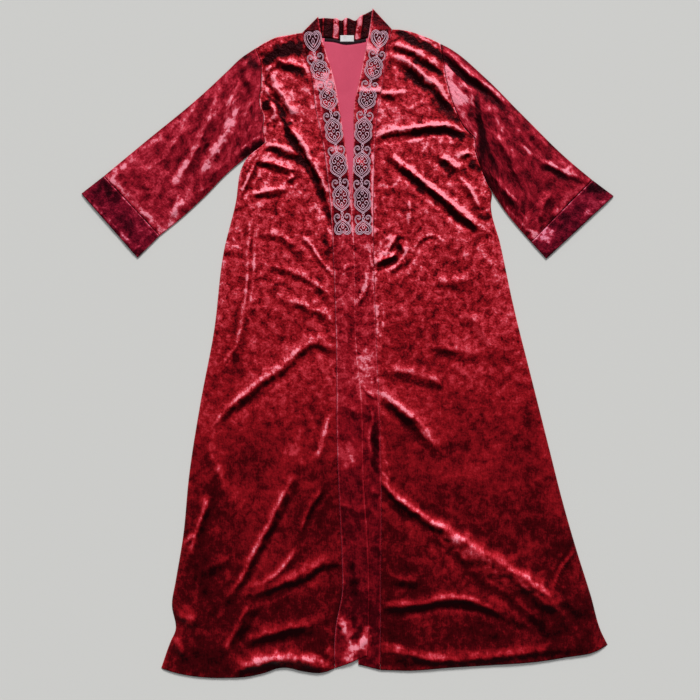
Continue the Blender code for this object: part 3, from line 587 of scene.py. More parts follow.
FRONT_PAINTED_LIGHT = stroke_table(
    (0.08, 7, -183, 605, -163, 609, -145, 613),
    (0.4, 3.4, -140, 578, -124, 575, -112, 576, -99, 572),
    (0.32, 3.2, -95, 584, -89, 572, -83, 560, -77, 545),
    (-0.42, 7, -138, 566, -120, 562, -99, 551, -87, 537, -81, 525),
    (0.38, 3.4, -155, 570, -163, 558, -169, 545, -177, 535),
    (0.3, 2.4, -173, 531, -175, 512, -179, 490, -175, 469, -169, 453, -169, 437, -167, 418),
    (0.42, 6, -151, 547, -149, 531, -145, 519),
    (0.4, 3.5, -169, 517, -159, 508, -149, 500),
    (-0.35, 3, -161, 519, -151, 512, -145, 510),
    (0.45, 5, -140, 517, -132, 502, -124, 488, -112, 474, -101, 463),
    (0.35, 2.4, -157, 496, -151, 486, -147, 478),
    (-0.6, 9, -155, 500, -142, 484, -136, 469, -128, 455, -124, 439, -116, 418, -106, 396,
     -91, 373, -75, 348),
    (-0.45, 6.5, -75, 348, -65, 326, -54, 301, -44, 275, -34, 250),
    (0.42, 4, -116, 435, -106, 422, -95, 410, -85, 398, -81, 385, -73, 369, -63, 351, -56,
     338),
    (0.36, 4, -56, 332, -50, 318),
    (0.3, 3, -46, 322, -36, 308),
    (0.25, 4, -71, 295, -63, 281, -52, 264, -44, 248, -36, 230, -24, 211),
    (0.3, 3, -42, 295, -36, 281, -32, 260),
    (0.3, 2.6, -99, 517, -89, 519, -81, 517, -75, 502),
    (0.25, 2.4, -114, 508, -112, 521, -106, 527),
    (-0.22, 6, -89, 506, -87, 494),
    (-0.2, 7, -69, 504, -63, 492),
    (0.28, 3, -77, 484, -67, 480),
    (0.28, 3, -95, 471, -87, 463, -81, 459),
    (0.28, 2.4, -112, 451, -104, 448, -97, 453, -91, 459),
    (-0.22, 6, -118, 449, -97, 445),
    (0.22, 8, -151, 467, -140, 453, -136, 437),
    (0.22, 2.6, -161, 414, -142, 414),
    (0.38, 4, -159, 408, -142, 402, -126, 396, -112, 392),
    (-0.42, 7, -155, 396, -134, 387, -118, 379, -95, 375),
    (0.45, 4, -175, 379, -159, 375, -140, 371, -124, 367, -110, 361),
    (0.3, 4, -108, 361, -95, 357, -85, 351),
    (-0.25, 5, -173, 365, -149, 363, -124, 359),
    (0.42, 3, -192, 308, -175, 312, -159, 314, -147, 316),
    (-0.3, 5, -190, 301, -167, 299, -132, 297),
    (0.2, 2.4, -136, 318, -126, 328, -118, 336, -110, 342),
    (0.2, 2.4, -136, 318, -128, 312, -122, 303),
    (0.24, 2.4, -101, 303, -91, 314, -79, 322),
    (0.1, 10, -175, 338, -134, 334),
    (-0.15, 6, -112, 293, -112, 269, -116, 248),
    (-0.14, 6, -91, 269, -89, 240),
    (-0.25, 5, -52, 221, -46, 203),
    (0.34, 2.8, -181, 387, -190, 367, -200, 346, -210, 326, -220, 308),
    (0.2, 2.4, -186, 389, -198, 379, -204, 367),
    (-0.25, 4, -183, 375, -186, 355, -194, 324, -200, 301),
    (-0.25, 3, -198, 365, -208, 342, -216, 322),
    (0.24, 2.5, -231, 240, -220, 230, -212, 232),
    (0.44, 3.2, 116, 640, 132, 632, 151, 625, 167, 615, 183, 605),
    (0.42, 3.2, 95, 611, 112, 605, 130, 597, 149, 586, 167, 576, 177, 566, 192, 560),
    (0.22, 2.4, 122, 603, 138, 597, 157, 586),
    (-0.45, 7, 130, 578, 147, 568, 167, 564, 188, 554, 198, 539),
    (-0.2, 5, 93, 605, 112, 594),
    (0.45, 5, 97, 590, 112, 580, 128, 568, 142, 556, 155, 543, 169, 533),
    (0.34, 7, 165, 535, 183, 525, 196, 515),
    (0.42, 3, 194, 517, 202, 500, 212, 488, 222, 474),
    (-0.5, 9, 114, 549, 132, 543, 151, 527, 167, 515),
    (-0.55, 12, 163, 517, 183, 498, 200, 484, 214, 469, 227, 455, 239, 441),
    (0.4, 4, 52, 511, 73, 512, 95, 512, 120, 515),
    (-0.3, 6, 67, 504, 91, 502, 99, 496),
    (0.3, 3, 54, 476, 75, 476),
    (0.5, 6.5, 54, 422, 69, 428, 87, 432, 112, 434),
    (0.46, 4.4, 104, 434, 132, 437, 157, 441, 181, 443, 204, 442, 227, 435, 239, 433),
    (-0.6, 8, 124, 426, 153, 430, 181, 433, 210, 428, 239, 422, 253, 420),
    (0.3, 2.4, 147, 410, 157, 408, 165, 410),
    (0.28, 2.4, 163, 406, 155, 396, 151, 381),
    (-0.22, 4, 161, 400, 169, 396),
    (0.22, 4, 75, 400, 89, 392),
    (0.45, 4.5, 87, 392, 101, 379, 118, 367, 134, 353, 149, 338, 165, 326),
    (0.5, 5, 157, 332, 173, 320, 190, 305, 206, 293),
    (0.45, 4.5, 202, 295, 218, 285, 235, 273, 251, 258, 261, 244, 274, 238, 284, 230),
    (-0.42, 9, 112, 359, 130, 340, 149, 322, 169, 308, 186, 293, 202, 281),
    (-0.42, 8, 202, 281, 218, 264, 235, 252, 251, 238, 263, 232),
    (0.38, 7, 190, 387, 204, 377, 218, 369, 227, 359),
    (-0.45, 7, 186, 379, 196, 367, 206, 353, 214, 340),
    (0.36, 4, 224, 377, 235, 389, 249, 398),
    (0.42, 2.4, 227, 342, 239, 330, 251, 314, 261, 295, 270, 279),
    (0.4, 3, 243, 375, 253, 381, 261, 379),
    (-0.55, 8, 249, 369, 261, 361, 274, 351),
    (-0.4, 5, 243, 387, 249, 379),
    (0.42, 3.2, 259, 435, 261, 418, 258, 402, 257, 389),
    (0.22, 3, 58, 330, 75, 320, 91, 322, 108, 332),
    (-0.28, 7, 60, 308, 83, 308, 99, 314),
    (0.24, 2.4, 117, 287, 121, 266, 124, 244),
    (0.28, 4.5, 95, 244, 108, 246, 116, 250),
    (-0.2, 7, 108, 219, 112, 195),
    (0.3, 2.6, 155, 215, 167, 221, 183, 221, 192, 213),
    (-0.24, 6, 63, 248, 67, 236),
    (0.2, 4, 278, 338, 284, 314, 292, 285),
    (0.28, 2.6, 272, 266, 284, 271, 292, 279),
    (-0.4, 6, 263, 260, 280, 256, 294, 264),
    (-0.8, 13, -171, 566, -157, 580, -136, 594, -114, 601, -89, 601),
    (-0.35, 9, -134, 609, -108, 611, -89, 605),
    (0.3, 2.6, -134, 611, -124, 615, -116, 621),
    (0.26, 2.6, -188, 603, -169, 615, -149, 627, -118, 638),
    (-0.75, 10, -171, 496, -167, 488, -165, 476),
    (0.3, 3, -173, 527, -159, 519, -147, 512),
    (-0.8, 8, 99, 638, 118, 627, 136, 617, 159, 607, 181, 592, 202, 576),
    (-0.12, 14, 118, 590, 169, 568),
    (0.08, 3, -159, 230, -145, 223, -130, 220, -116, 211, -101, 197),
    (-0.1, 6, -163, 215, -138, 209, -112, 193),
    (0.3, 2.4, -73, 199, -60, 180, -46, 158),
    (0.14, 3, -89, 215, -75, 199),
    (0.14, 3, -44, 156, -28, 139),
    (-0.35, 5, -46, 230, -42, 199, -40, 166),
    (0.26, 3, -38, 240, -32, 219, -28, 205),
    (-0.18, 10, -104, 191, -95, 162),
    (0.08, 3, -159, 162, -124, 148, -85, 135, -58, 117, -42, 100),
    (0.18, 2.6, -73, 127, -56, 115),
    (0.16, 4, -56, 80, -44, 64, -30, 47),
    (0.26, 2.4, -199, 248, -200, 219, -202, 195),
    (0.26, 2.4, -190, 228, -192, 193, -190, 164, -193, 129),
    (0.24, 2.4, -202, 166, -206, 121, -208, 88, -214, 43, -223, 8, -233, -20),
    (0.18, 3, -235, -25, -245, -41, -257, -55),
    (-0.2, 7, -220, -18, -231, -39),
    (0.12, 3, -85, 8, -104, -14, -132, -35, -159, -57, -183, -74, -208, -96, -239, -125),
    (-0.22, 5, -58, -8, -42, -16, -28, -18),
    (0.28, 2.8, -34, -144, -42, -166, -50, -191, -58, -215, -63, -236),
    (0.16, 3, -118, -281, -126, -301, -145, -334, -167, -383, -188, -420, -200, -445, -220,
     -486, -241, -515),
    (0.18, 3, -128, -303, -142, -330),
    (0.18, 3, -179, -406, -196, -437),
    (-0.14, 7, -106, -289, -122, -326, -147, -371, -175, -420, -200, -457),
    (0.18, 3, -52, -293, -73, -330, -85, -355, -95, -383),
    (-0.14, 7, -42, -285, -65, -322, -81, -363),
    (0.16, 4, -106, -416, -124, -443, -142, -467, -167, -484),
    (0.1, 5, -167, -486, -208, -498, -249, -515),
    (0.12, 7, -34, -433, -75, -451, -101, -465, -138, -482),
    (-0.24, 7, -15, -453, -48, -453, -85, -469, -126, -488, -175, -506),
    (0.14, 3.5, -188, -531, -214, -570, -237, -603, -253, -633),
    (-0.14, 6, -175, -535, -200, -572, -224, -613),
    (0.1, 6, -40, -547, -65, -564, -118, -572, -175, -588),
    (-0.12, 7, -36, -564, -97, -580, -167, -605),
    (0.28, 3, -282, -312, -298, -355, -311, -394, -321, -430),
    (0.3, 3.5, -337, -410, -311, -389),
    (0.16, 3, -298, -449, -306, -482, -311, -529),
    (0.1, 12, -247, -279, -227, -312, -175, -334),
    (0.24, 7, -220, -662, -196, -656, -175, -650),
    (0.34, 6, -188, -654, -167, -646, -149, -640),
    (0.42, 8, -145, -642, -122, -644, -101, -644),
    (0.34, 7, -95, -642, -73, -640, -56, -642),
    (0.4, 4, -54, -644, -46, -660, -38, -646),
    (-0.15, 7, -229, -674, -138, -662, -97, -666, -48, -672),
    (0.2, 3, 54, 412, 56, 262, 58, 88, 63, -117, 69, -260),
    (0.38, 3.2, 56, 191, 57, 154, 56, 113),
    (0.26, 3, 60, 88, 62, 47, 63, 14),
    (0.24, 3, 67, 88, 73, 51, 69, 14, 65, -18),
    (0.3, 3.4, 65, 201, 77, 211, 91, 223),
    (0.36, 4.4, 56, 182, 75, 180, 97, 186),
    (-0.5, 7, 67, 166, 87, 173, 101, 187, 110, 205),
    (0.34, 2.8, 116, 219, 122, 199, 112, 174, 95, 158, 69, 148),
    (0.12, 4, 157, 215, 140, 184, 126, 156, 104, 133),
    (0.14, 4, 165, -2, 194, -2, 220, -10),
    (-0.12, 5, 165, -14, 200, -16, 227, -23),
    (0.14, 4, 75, -53, 122, -59, 161, -68, 188, -82),
    (-0.14, 6, 83, -70, 140, -82, 192, -94),
    (0.28, 5, 69, -98, 83, -113, 99, -125),
    (0.32, 4, 104, -127, 122, -141, 132, -154),
    (0.22, 4, 134, -156, 149, -174, 163, -195),
    (-0.16, 8, 75, -117, 104, -150, 132, -182),
    (0.18, 3, 42, -129, 52, -152, 42, -189, 48, -223),
    (0.18, 3, 71, -189, 77, -236, 89, -277),
    (0.3, 3, 69, -264, 81, -273, 87, -285),
    (0.16, 5, 79, -297, 108, -322, 136, -342),
    (0.14, 6, 157, -355, 181, -373, 204, -387),
    (0.1, 8, 208, -389, 243, -410, 272, -426),
    (0.1, 7, 272, -426, 313, -449, 337, -463),
    (0.08, 6, 341, -467, 374, -488, 405, -515),
    (-0.24, 8, 89, -328, 124, -357, 167, -389, 206, -422),
    (-0.28, 9, 206, -422, 239, -457, 284, -494, 329, -523, 372, -560, 405, -588, 427, -605),
    (0.14, 4, 73, -533, 104, -527, 136, -531),
    (0.14, 4, 181, -523, 210, -515, 243, -519, 272, -527),
    (-0.22, 6, 73, -543, 128, -543, 202, -535, 251, -541, 313, -560, 374, -586),
    (0.34, 5, 69, -613, 91, -617, 120, -625),
    (0.3, 4.4, 163, -633, 186, -640, 206, -640),
    (0.1, 6, 214, -633, 313, -629, 415, -619),
    (-0.24, 7, 54, -652, 190, -652, 354, -640, 501, -625),
    (0.14, 9, 421, -531, 444, -551, 460, -572),
    (0.14, 3, 440, -426, 421, -461, 415, -490),
    (0.1, 10, 116, -334, 157, -363, 198, -389, 243, -418),
    (0.18, 15, 190, -396, 243, -428, 296, -461, 354, -498, 405, -535),
    (0.1, 4, 251, -420, 292, -445, 325, -467),
    (0.1, 4, 354, -492, 386, -515, 411, -535),
    (0.12, 9, -97, -213, -118, -219, -130, -232),
    (0.1, 7, -85, -236, -101, -248),
    (0.34, 3, -151, -644, -145, -629, -138, -642),
    (0.26, 5, -44, -638, -36, -623, -34, -642),
    (0.1, 14, 91, -322, 140, -357, 190, -392, 251, -430),
    (0.16, 6, 67, -631, 83, -625, 108, -629),
    (0.2, 18, 124, -377, 181, -416, 239, -453, 296, -492, 354, -535, 395, -572),
    (0.14, 9, 161, -371, 214, -408, 268, -441, 325, -480),
)
# Painted highlights and painted shade on the sleeves and cuffs
SLEEVE_PAINTED_LIGHT = stroke_table(
    (0.19, 3.4, -220, 504, -224, 486, -229, 469),
    (0.41, 5.8, -227, 474, -233, 457, -237, 441, -243, 424),
    (0.29, 5.2, -245, 418, -257, 400, -270, 385),
    (0.38, 5.8, -272, 383, -280, 371, -288, 361, -296, 346),
    (0.29, 4.6, -257, 494, -265, 478, -274, 465, -286, 453),
    (0.24, 3.9, -315, 402, -319, 392),
    (0.36, 5.8, -323, 383, -333, 365, -339, 351, -347, 334, -356, 320),
    (0.29, 5.8, -329, 303, -337, 289, -345, 275),
    (0.43, 6.9, -345, 277, -354, 260, -362, 246, -376, 234, -388, 225),
    (0.14, 2.4, -216, 478, -200, 490, -183, 498),
    (0.14, 2.4, -220, 437, -206, 457, -188, 480),
    (0.14, 2.4, -208, 424, -196, 445, -181, 465),
    (-0.12, 3, -214, 433, -200, 453, -183, 474),
    (0.36, 2.6, -220, 394, -202, 408, -186, 420, -173, 425),
    (-0.55, 7, -222, 375, -200, 393, -183, 405, -169, 414),
    (-0.3, 8, -214, 586, -196, 576, -183, 556),
    (-0.14, 7, -208, 535, -196, 498),
    (0.22, 2.4, -309, 308, -288, 320, -274, 330),
    (-0.34, 15, -511, 322, -483, 314, -462, 293),
    (-0.16, 9, -464, 262, -434, 221),
    (0.19, 6.9, -466, 223, -450, 209),
    (0.3, 1.8, -538, 303, -518, 281, -487, 250, -456, 219, -434, 193),
    (0.22, 2.2, -436, 193, -421, 201),
    (0.36, 3.4, 224, 570, 241, 556, 255, 541),
    (0.41, 4.6, 268, 535, 288, 521, 306, 508, 329, 490),
    (0.48, 6.9, 200, 572, 208, 558, 210, 543),
    (0.34, 3.4, 251, 510, 255, 496, 259, 482),
    (-0.3, 6, 247, 478, 253, 463),
    (-0.36, 5, 263, 515, 265, 482, 270, 453, 280, 420, 288, 392, 298, 363),
    (-0.4, 6, 270, 445, 274, 416, 274, 383, 280, 359),
    (0.5, 3.4, 259, 435, 261, 418, 259, 402, 257, 389),
    (0.26, 6.9, 280, 490, 290, 474),
    (0.24, 4.6, 298, 490, 306, 471),
    (0.34, 5.8, 304, 463, 313, 441, 315, 428),
    (0.34, 4.6, 331, 465, 337, 445),
    (0.22, 4.6, 343, 439, 354, 428),
    (0.3, 2.4, 352, 410, 364, 398, 376, 381),
    (0.24, 3.9, 335, 398, 339, 379),
    (0.43, 3.7, 391, 375, 411, 367, 427, 357, 446, 348, 466, 340, 479, 334),
    (-0.3, 6, 395, 361, 415, 355, 436, 342, 452, 334),
    (0.36, 3.9, 462, 365, 448, 355, 440, 348),
    (0.24, 6.9, 493, 332, 479, 318, 462, 308, 446, 293, 436, 277, 415, 260),
    (0.34, 2.4, 306, 326, 323, 312, 337, 299, 356, 283),
    (0.36, 2.6, 321, 283, 335, 266, 352, 250, 366, 234, 380, 228),
    (0.26, 2.4, 352, 269, 370, 250),
    (-0.22, 5, 313, 310, 337, 285, 362, 258),
    (-0.4, 11, 485, 316, 514, 318, 534, 314),
    (0.22, 6.9, 530, 295, 505, 281, 477, 252),
    (-0.18, 8, 427, 254, 456, 260),
    (-0.16, 7, 464, 281, 485, 281),
    (0.62, 7, -497, 346, -479, 330, -460, 312, -444, 295),
    (0.45, 5, -448, 299, -427, 279, -407, 260, -393, 244, -382, 225),
    (0.42, 13, -483, 351, -466, 361, -454, 353),
    (-0.8, 5, 196, 584, 210, 570, 227, 554, 245, 537, 265, 521),
    (-0.4, 5, 261, 523, 284, 504, 304, 488, 325, 474),
    (0.55, 13, 214, 533, 220, 510, 229, 486),
    (0.42, 9, 229, 531, 235, 508, 241, 482),
    (0.3, 7, 241, 519, 247, 500, 251, 484),
    (0.26, 6, 237, 471, 245, 453, 255, 437),
    (0.66, 6, 370, 223, 388, 217, 407, 213, 417, 209),
    (0.62, 9, 407, 232, 413, 221),
    (0.5, 3.4, 370, 232, 388, 225, 405, 230, 413, 238),
    (0.34, 6, -227, 504, -237, 467, -251, 426, -270, 392, -294, 346),
    (0.45, 7, 204, 568, 208, 543, 212, 519),
    (0.3, 10, 216, 510, 227, 486, 239, 457),
    (0.3, 2.4, 343, 412, 374, 389, 407, 371, 440, 353, 470, 342),
)
# Painted highlights and painted shade at the foot of the bands
FOOT_PAINTED_LIGHT = stroke_table(
    (0.4, 6, -15, -558, -9, -576, -11, -597),
    (0.2, 16, -5, -564, 1, -601),
    (0.26, 22, -7, -633, 13, -629),
    (0.34, 9, -13, -642, 5, -640, 22, -633),
    (0.3, 6, -3, -597, 5, -615, 17, -625),
    (0.46, 8, 26, -629, 32, -613, 38, -592, 40, -576),
    (0.3, 16, 22, -601, 26, -629),
    (-0.22, 5, 9, -556, 19, -584),
    (-0.3, 6, -19, -449, -17, -502),
    (-0.2, 8, 9, -445, 13, -527),
)
# Painted highlights and painted shade on the bands
BAND_PAINTED_LIGHT = stroke_table(
    (-0.3, 22, -83, 631, -69, 609),
    (0.35, 10, -81, 590, -60, 586),
    (0.6, 15, -56, 539, -30, 527),
    (-0.25, 9, -52, 510, -28, 508),
    (0.25, 10, -44, 488, -24, 482),
    (0.25, 8, -38, 400, -7, 392),
    (0.3, 12, -34, 293, -1, 277),
    (0.35, 4, 48, 644, 89, 644),
    (0.5, 12, 38, 605, 67, 597),
    (0.35, 10, 30, 551, 54, 554),
    (0.55, 5, 22, 517, 69, 517),
    (0.3, 10, 22, 474, 50, 469),
    (0.35, 14, 13, 375, 42, 379),
    (-0.2, 12, 13, 301, 46, 301),
    (0.25, 10, 17, 236, 42, 240),
    (0.28, 20, -3, -199, -1, -260),
    (0.35, 3, 38, 125, 26, 98, 17, 80),
    (0.3, 3, 38, 211, 50, 166, 52, 105),
    (0.12, 2, -26, 215, 17, 215),
    (0.12, 2, 19, 199, 58, 199),
    (0.3, 3, 46, -127, 52, -152, 44, -189, 48, -223),
    (-0.25, 8, 52, -107, 56, -199, 58, -281),
    (0.5, 2.6, 51, 404, 51, 314, 52, 221),
    (0.38, 20, 38, -14, 38, -88),
    (0.3, 3, 24, -31, 38, -12, 52, -4),
    (0.35, 3, 44, 150, 38, 123, 24, 94),
    (0.26, 3, -11, 137, 1, 148, 15, 154),
    (0.34, 16, -79, 594, -52, 586),
    (0.3, 14, -65, 556, -42, 541),
    (0.46, 18, -71, 535, -30, 521),
    (0.22, 10, -52, 490, -24, 474),
    (0.34, 15, 46, 599, 75, 607),
    (0.26, 14, 32, 564, 58, 556),
    (0.4, 13, 24, 517, 65, 521),
    (0.2, 10, 19, 461, 50, 453),
    (0.2, 9, -36, 396, -3, 383),
    (0.3, 4, -19, 262, -7, 244, -9, 219),
)


# %% Painting tone, highlights and shade
STROKE_END = (-0.06, 0.16)
STROKE_CRISP, STROKE_REACH = 2.6, 2.5
STROKE_STRENGTH = 0.95

# Noises in the tone: share, cell, seed
STROKE_UNEVEN = ((0.3, 10.0, 311), (0.4, 5.5, 313))
STROKE_FRAYED = ((0.38, 8.0, 319), (0.26, 4.5, 321))
ZONE_DRIFT = ((0.05, 90.0, 301), (0.06, 38.0, 303))
SLEEVE_DRIFT = ((0.05, 42.0, 307), (0.07, 15.0, 309))


def paint_tone_and_light(tone, plan, patches, strokes):
    """The tone with every patch of tone or painted light added, fading as
    exp(-r^2), and every stroke of painted highlight or painted shade, with a
    crisper edge, exp(-r^2.6); noise breaks the strokes up and frays their
    edges, as on a crushed pile."""
    x, y = plan[..., 0], plan[..., 1]
    for cx, cy, across, up, change in patches:
        tone = tone + change * np.exp(-(((x - cx) / across) ** 2) - ((y - cy) / up) ** 2)
    uneven = STROKE_STRENGTH + drift(x, y, STROKE_UNEVEN)
    frayed = drift(x, y, STROKE_FRAYED)
    for stroke in strokes:
        way = soften(stroke.way, WAY_STEPS)
        near = near_way(x, y, way, STROKE_REACH * stroke.width)
        off, share = beside_way(x[near], y[near], way)
        ends = smooth(np.minimum(share, 1 - share), *STROKE_END)
        fade = np.exp(-(np.abs(off / stroke.width + frayed[near]) ** STROKE_CRISP))
        tone[near] += stroke.tone * ends * uneven[near] * fade
    return tone


def zone_tone(plan, strokes=FRONT_PAINTED_LIGHT):
    """The tone: bright on the chest and dark in the skirt, with patches of tone and
    painted light, strokes of painted highlight and painted shade, and drifting a
    little all over."""
    x, y = plan[..., 0], plan[..., 1]
    tone = paint_tone_and_light(np.interp(y, ZONE_HEIGHTS, ZONE_TONES), plan, TONE_AND_LIGHT_PATCHES, strokes)
    return tone + drift(x, y, ZONE_DRIFT)


def sleeve_tone(plan, tone):
    """A sleeve's or cuff's tone, with its own patches of tone and painted light,
    and its strokes of painted highlight and painted shade.
    """
    x, y = plan[..., 0], plan[..., 1]
    tone = tone + drift(x, y, SLEEVE_DRIFT)
    return paint_tone_and_light(tone, plan, SLEEVE_TONE_AND_LIGHT_PATCHES, SLEEVE_PAINTED_LIGHT)


# %% Walls
def sew_wall(name, plan, low, top, zone=0.5, grain=None):
    """A closed wall between the surfaces low and top over one plan."""
    rows, columns = low.shape
    count = rows * columns
    under = np.dstack([plan, low]).reshape(-1, 3)
    over = np.dstack([plan, top]).reshape(-1, 3)
    quads = grid_quads(rows, columns)
    r, c = np.arange(rows), np.arange(columns)
    rim = np.concatenate([
        r[:-1] * columns,
        (rows - 1) * columns + c[:-1],
        r[:0:-1] * columns + columns - 1,
        c[:0:-1],
    ])
    after = np.roll(rim, -1)
    side = np.stack([rim, after, after + count, rim + count], axis=1)
    faces = np.vstack([quads + count, quads[:, ::-1], side])
    grain = plan if grain is None else grain
    flat = grain.reshape(-1, 2)
    # Tone with painted highlights on slopes facing the light and on crests, painted shade on
    # slopes facing away
    tone_and_painted_light = tone_with_painted_light(plan, top, zone).ravel()
    return put_mesh(
        name, np.vstack([under, over]), faces, np.vstack([flat, flat]),
        np.concatenate([tone_and_painted_light, tone_and_painted_light]),
    )


# %% [markdown]
# ## The two fronts
#
# Each front lies on the back and rolls down to the floor at its side seam.  Its
# height is the layer below it, a little air, the folds, and the fine creases of
# the crushed pile, which are strongest on the chest and calmer in the skirt.

# %% Fronts
FRONT_CELLS = {"right": 98, "left": 106}
CHEST_ROWS, SKIRT_ROWS = 212, 200
CHEST_SHARE = 0.375
SEAM_CALM, SEAM_SHARE, SIDE_CALM = 12.0, 0.45, 20.0
SEAM_PUCKER, SEAM_PUCKER_WIDTH = 1.6, 9.0
HOLE_PUCKER, HOLE_PUCKER_WIDTH = 3.0, 14.0
HOLE_FADE, BESIDE_FADE = 20.0, 14.0
PUCKER_CELL, PUCKER_SQUEEZE = 7.0, 0.4
FRONT_SWELL, FRONT_SWELL_CELL = 1.2, 70.0
HOLE_SHINE, HOLE_SHINE_AT, HOLE_SHINE_WIDTH, HOLE_SHINE_FADE = 0.22, 1.5, 1.6, 4.0
CRINKLE_DOWN = (-600, -100, 150, 330, 430, 640)
CRINKLE_HIGH = (0.30, 0.35, 0.55, 0.72, 0.95, 1.0)


def grow(distance, width, share):
    """share at a seam, and a soft rise to 1 at this width away from it."""
    return share + (1.0 - share) * smooth(distance, 0.0, width)


def front_low(x, y, side, seam, folds, arm_end, seed):
    """Height of a front's under face over the floor."""
    reach = np.abs(x - x_at(side, y))
    to_seam = np.abs(x - x_at(seam, y))
    calm = smooth(reach, 0.0, SIDE_CALM) * grow(to_seam, SEAM_CALM, SEAM_SHARE)
    crush = np.interp(y, CRINKLE_DOWN, CRINKLE_HIGH) * crinkle(x, y, seed)
    at_hole = smooth(y, arm_end - HOLE_FADE, arm_end + HOLE_FADE)
    at_hole = at_hole * np.exp(-((reach / HOLE_PUCKER_WIDTH) ** 2))
    pucker = SEAM_PUCKER * np.exp(-((to_seam / SEAM_PUCKER_WIDTH) ** 2)) + HOLE_PUCKER * at_hole
    puckered = lattice_noise(x * PUCKER_SQUEEZE, y, PUCKER_CELL, seed + 11)
    crush = crush + pucker * np.maximum(puckered, 0.0)
    swell = FRONT_SWELL * lattice_noise(x, y, FRONT_SWELL_CELL, seed + 7)
    relief = np.maximum(calm * (FRONT_LOFT + swell + fold_relief(x, y, folds) + crush), 0.0)
    beside = smooth(arm_end - y, 0.0, BESIDE_FADE) * (1 - smooth(reach, 0.0, SIDE_ROLL))
    return FRONT_LOW * (1 - beside) + relief


def rows_down(height):
    """Fractions down a front, finer on the chest, and crowded at both ends."""
    chest = height * CHEST_SHARE
    upper = np.linspace(CROWD[-1], chest, CHEST_ROWS)
    lower = np.linspace(chest, height - CROWD[-1], SKIRT_ROWS)[1:]
    return np.concatenate([CROWD[:-1], upper, lower, height - CROWD[-2::-1]]) / height


def lay_front(name, armhole, side, seam, shoulder, hem, folds, seed, cells, seam_first):
    """A front between its side and its band seam, as a closed wall of velvet."""
    edge = np.vstack([soften(armhole), soften(side)[1:]])
    seam = soften(seam)
    height = edge[0, 1] - edge[-1, 1]
    down = rows_down(height)
    outer, inner = at_down(edge, down), at_down(seam, down)
    width = np.abs(outer[:, 0] - inner[:, 0])
    steps = crowd(width, cells)
    across = steps / width[:, None]
    west, east = (inner, outer) if seam_first else (outer, inner)
    plan = fill_panel(west, east, soften(shoulder), soften(hem), across, down)
    x, y = plan[..., 0], plan[..., 1]
    low = front_low(x, y, edge, seam, folds, armhole[-1][1], seed)
    rim = np.minimum(steps, width[:, None] - steps)
    ends = np.minimum(down, 1 - down)[:, None] * height
    top = low + VELVET * rounding(np.minimum(rim, ends))
    # Painted highlight along the front's edge at the armhole
    outer_rim = (1 - across if seam_first else across) * width[:, None]
    hole = smooth(y, armhole[-1][1] - HOLE_SHINE_FADE, armhole[-1][1] + HOLE_SHINE_FADE)
    line = np.exp(-(((outer_rim - HOLE_SHINE_AT) / HOLE_SHINE_WIDTH) ** 2))
    shine = HOLE_SHINE * hole * line
    return sew_wall(name, plan, low, top, zone_tone(plan) + shine)


front_right = lay_front(
    "front_right_cloth", ARMHOLE_RIGHT, SIDE_RIGHT, BAND_SEAM_RIGHT, SHOULDER_RIGHT, HEM_RIGHT,
    FOLDS_RIGHT, 11, FRONT_CELLS["right"], seam_first=False,
)
front_left = lay_front(
    "front_left_cloth", ARMHOLE_LEFT, SIDE_LEFT, BAND_SEAM_LEFT, SHOULDER_LEFT, HEM_LEFT,
    FOLDS_LEFT, 23, FRONT_CELLS["left"], seam_first=True,
)
tell(front_right, front_left)

# %% [markdown]
# ## The back
#
# Only a wedge of the back shows, inside the neck opening, with the knitted
# wrong side of the velvet up.  It lies flat on the floor.

# %% Back
BACK_CELLS, BACK_ROWS = 60, 110
BACK_DIP, BACK_DIP_CELL, BACK_RIM = 0.25, 46.0, 0.1


def lay_back():
    """The back as a flat closed wall, a patch between both sides."""
    right = np.vstack([soften(ARMHOLE_RIGHT), soften(SIDE_RIGHT)[1:] + (BACK_INSET, 0.0)])
    left = np.vstack([soften(ARMHOLE_LEFT), soften(SIDE_LEFT)[1:] - (BACK_INSET, 0.0)])
    right = np.vstack([right[right[:, 1] > BACK_HEM[0][1]], BACK_HEM[0]])
    left = np.vstack([left[left[:, 1] > BACK_HEM[-1][1]], BACK_HEM[-1]])
    down = np.linspace(0.0, 1.0, BACK_ROWS)
    west, east = at_down(right, down), at_down(left, down)
    top = np.vstack([soften(SHOULDER_RIGHT), soften(NECK_SEAM), soften(SHOULDER_LEFT)])
    across = np.tile(np.linspace(0.0, 1.0, BACK_CELLS), (BACK_ROWS, 1))
    plan = fill_panel(west, east, top, soften(BACK_HEM), across, down)
    x, y = plan[..., 0], plan[..., 1]
    inside = smooth(np.minimum(across, 1 - across), 0.0, BACK_RIM)
    high = BACK_TOP - BACK_DIP * inside * (1 - lattice_noise(x, y, BACK_DIP_CELL, 5))
    return sew_wall("back_cloth", plan, np.zeros_like(high), high)


back = lay_back()
tell(back)

# %% [markdown]
# ## The bands
#
# Each front edge carries a band of double cloth.  Below the chest the wearer's
# right band laps over the left one, so it climbs over it a little way from its
# seam.  At the top both bands rise on to the collar.

# %% Bands
BAND_CELLS = 26
BAND_ROWS = 420
# Painted highlight along the edges of a band, by its height up the robe
EDGE_DOWN, EDGE_SHINE = (-600, -100, 180, 230, 345, 430), (0.26, 0.28, 0.30, 0.55, 0.62, 0.34)
EDGE_LINE = 2.0
# Painted shade on the velvet ground among the embroidery, and how wide it reaches
EMBROIDERY_GROUND_SHADE, GROUND_WIDE, GROUND_FOOT = 0.32, (14.0, 19.0), (8.0, 14.0)
BAND_WAVE, BAND_WAVE_CELL, BAND_CRUSH = 0.5, 34.0, 0.45
CLEAR_OF_EDGE, FREE_ABOVE = (1.5, 8.0), (250.0, 330.0)

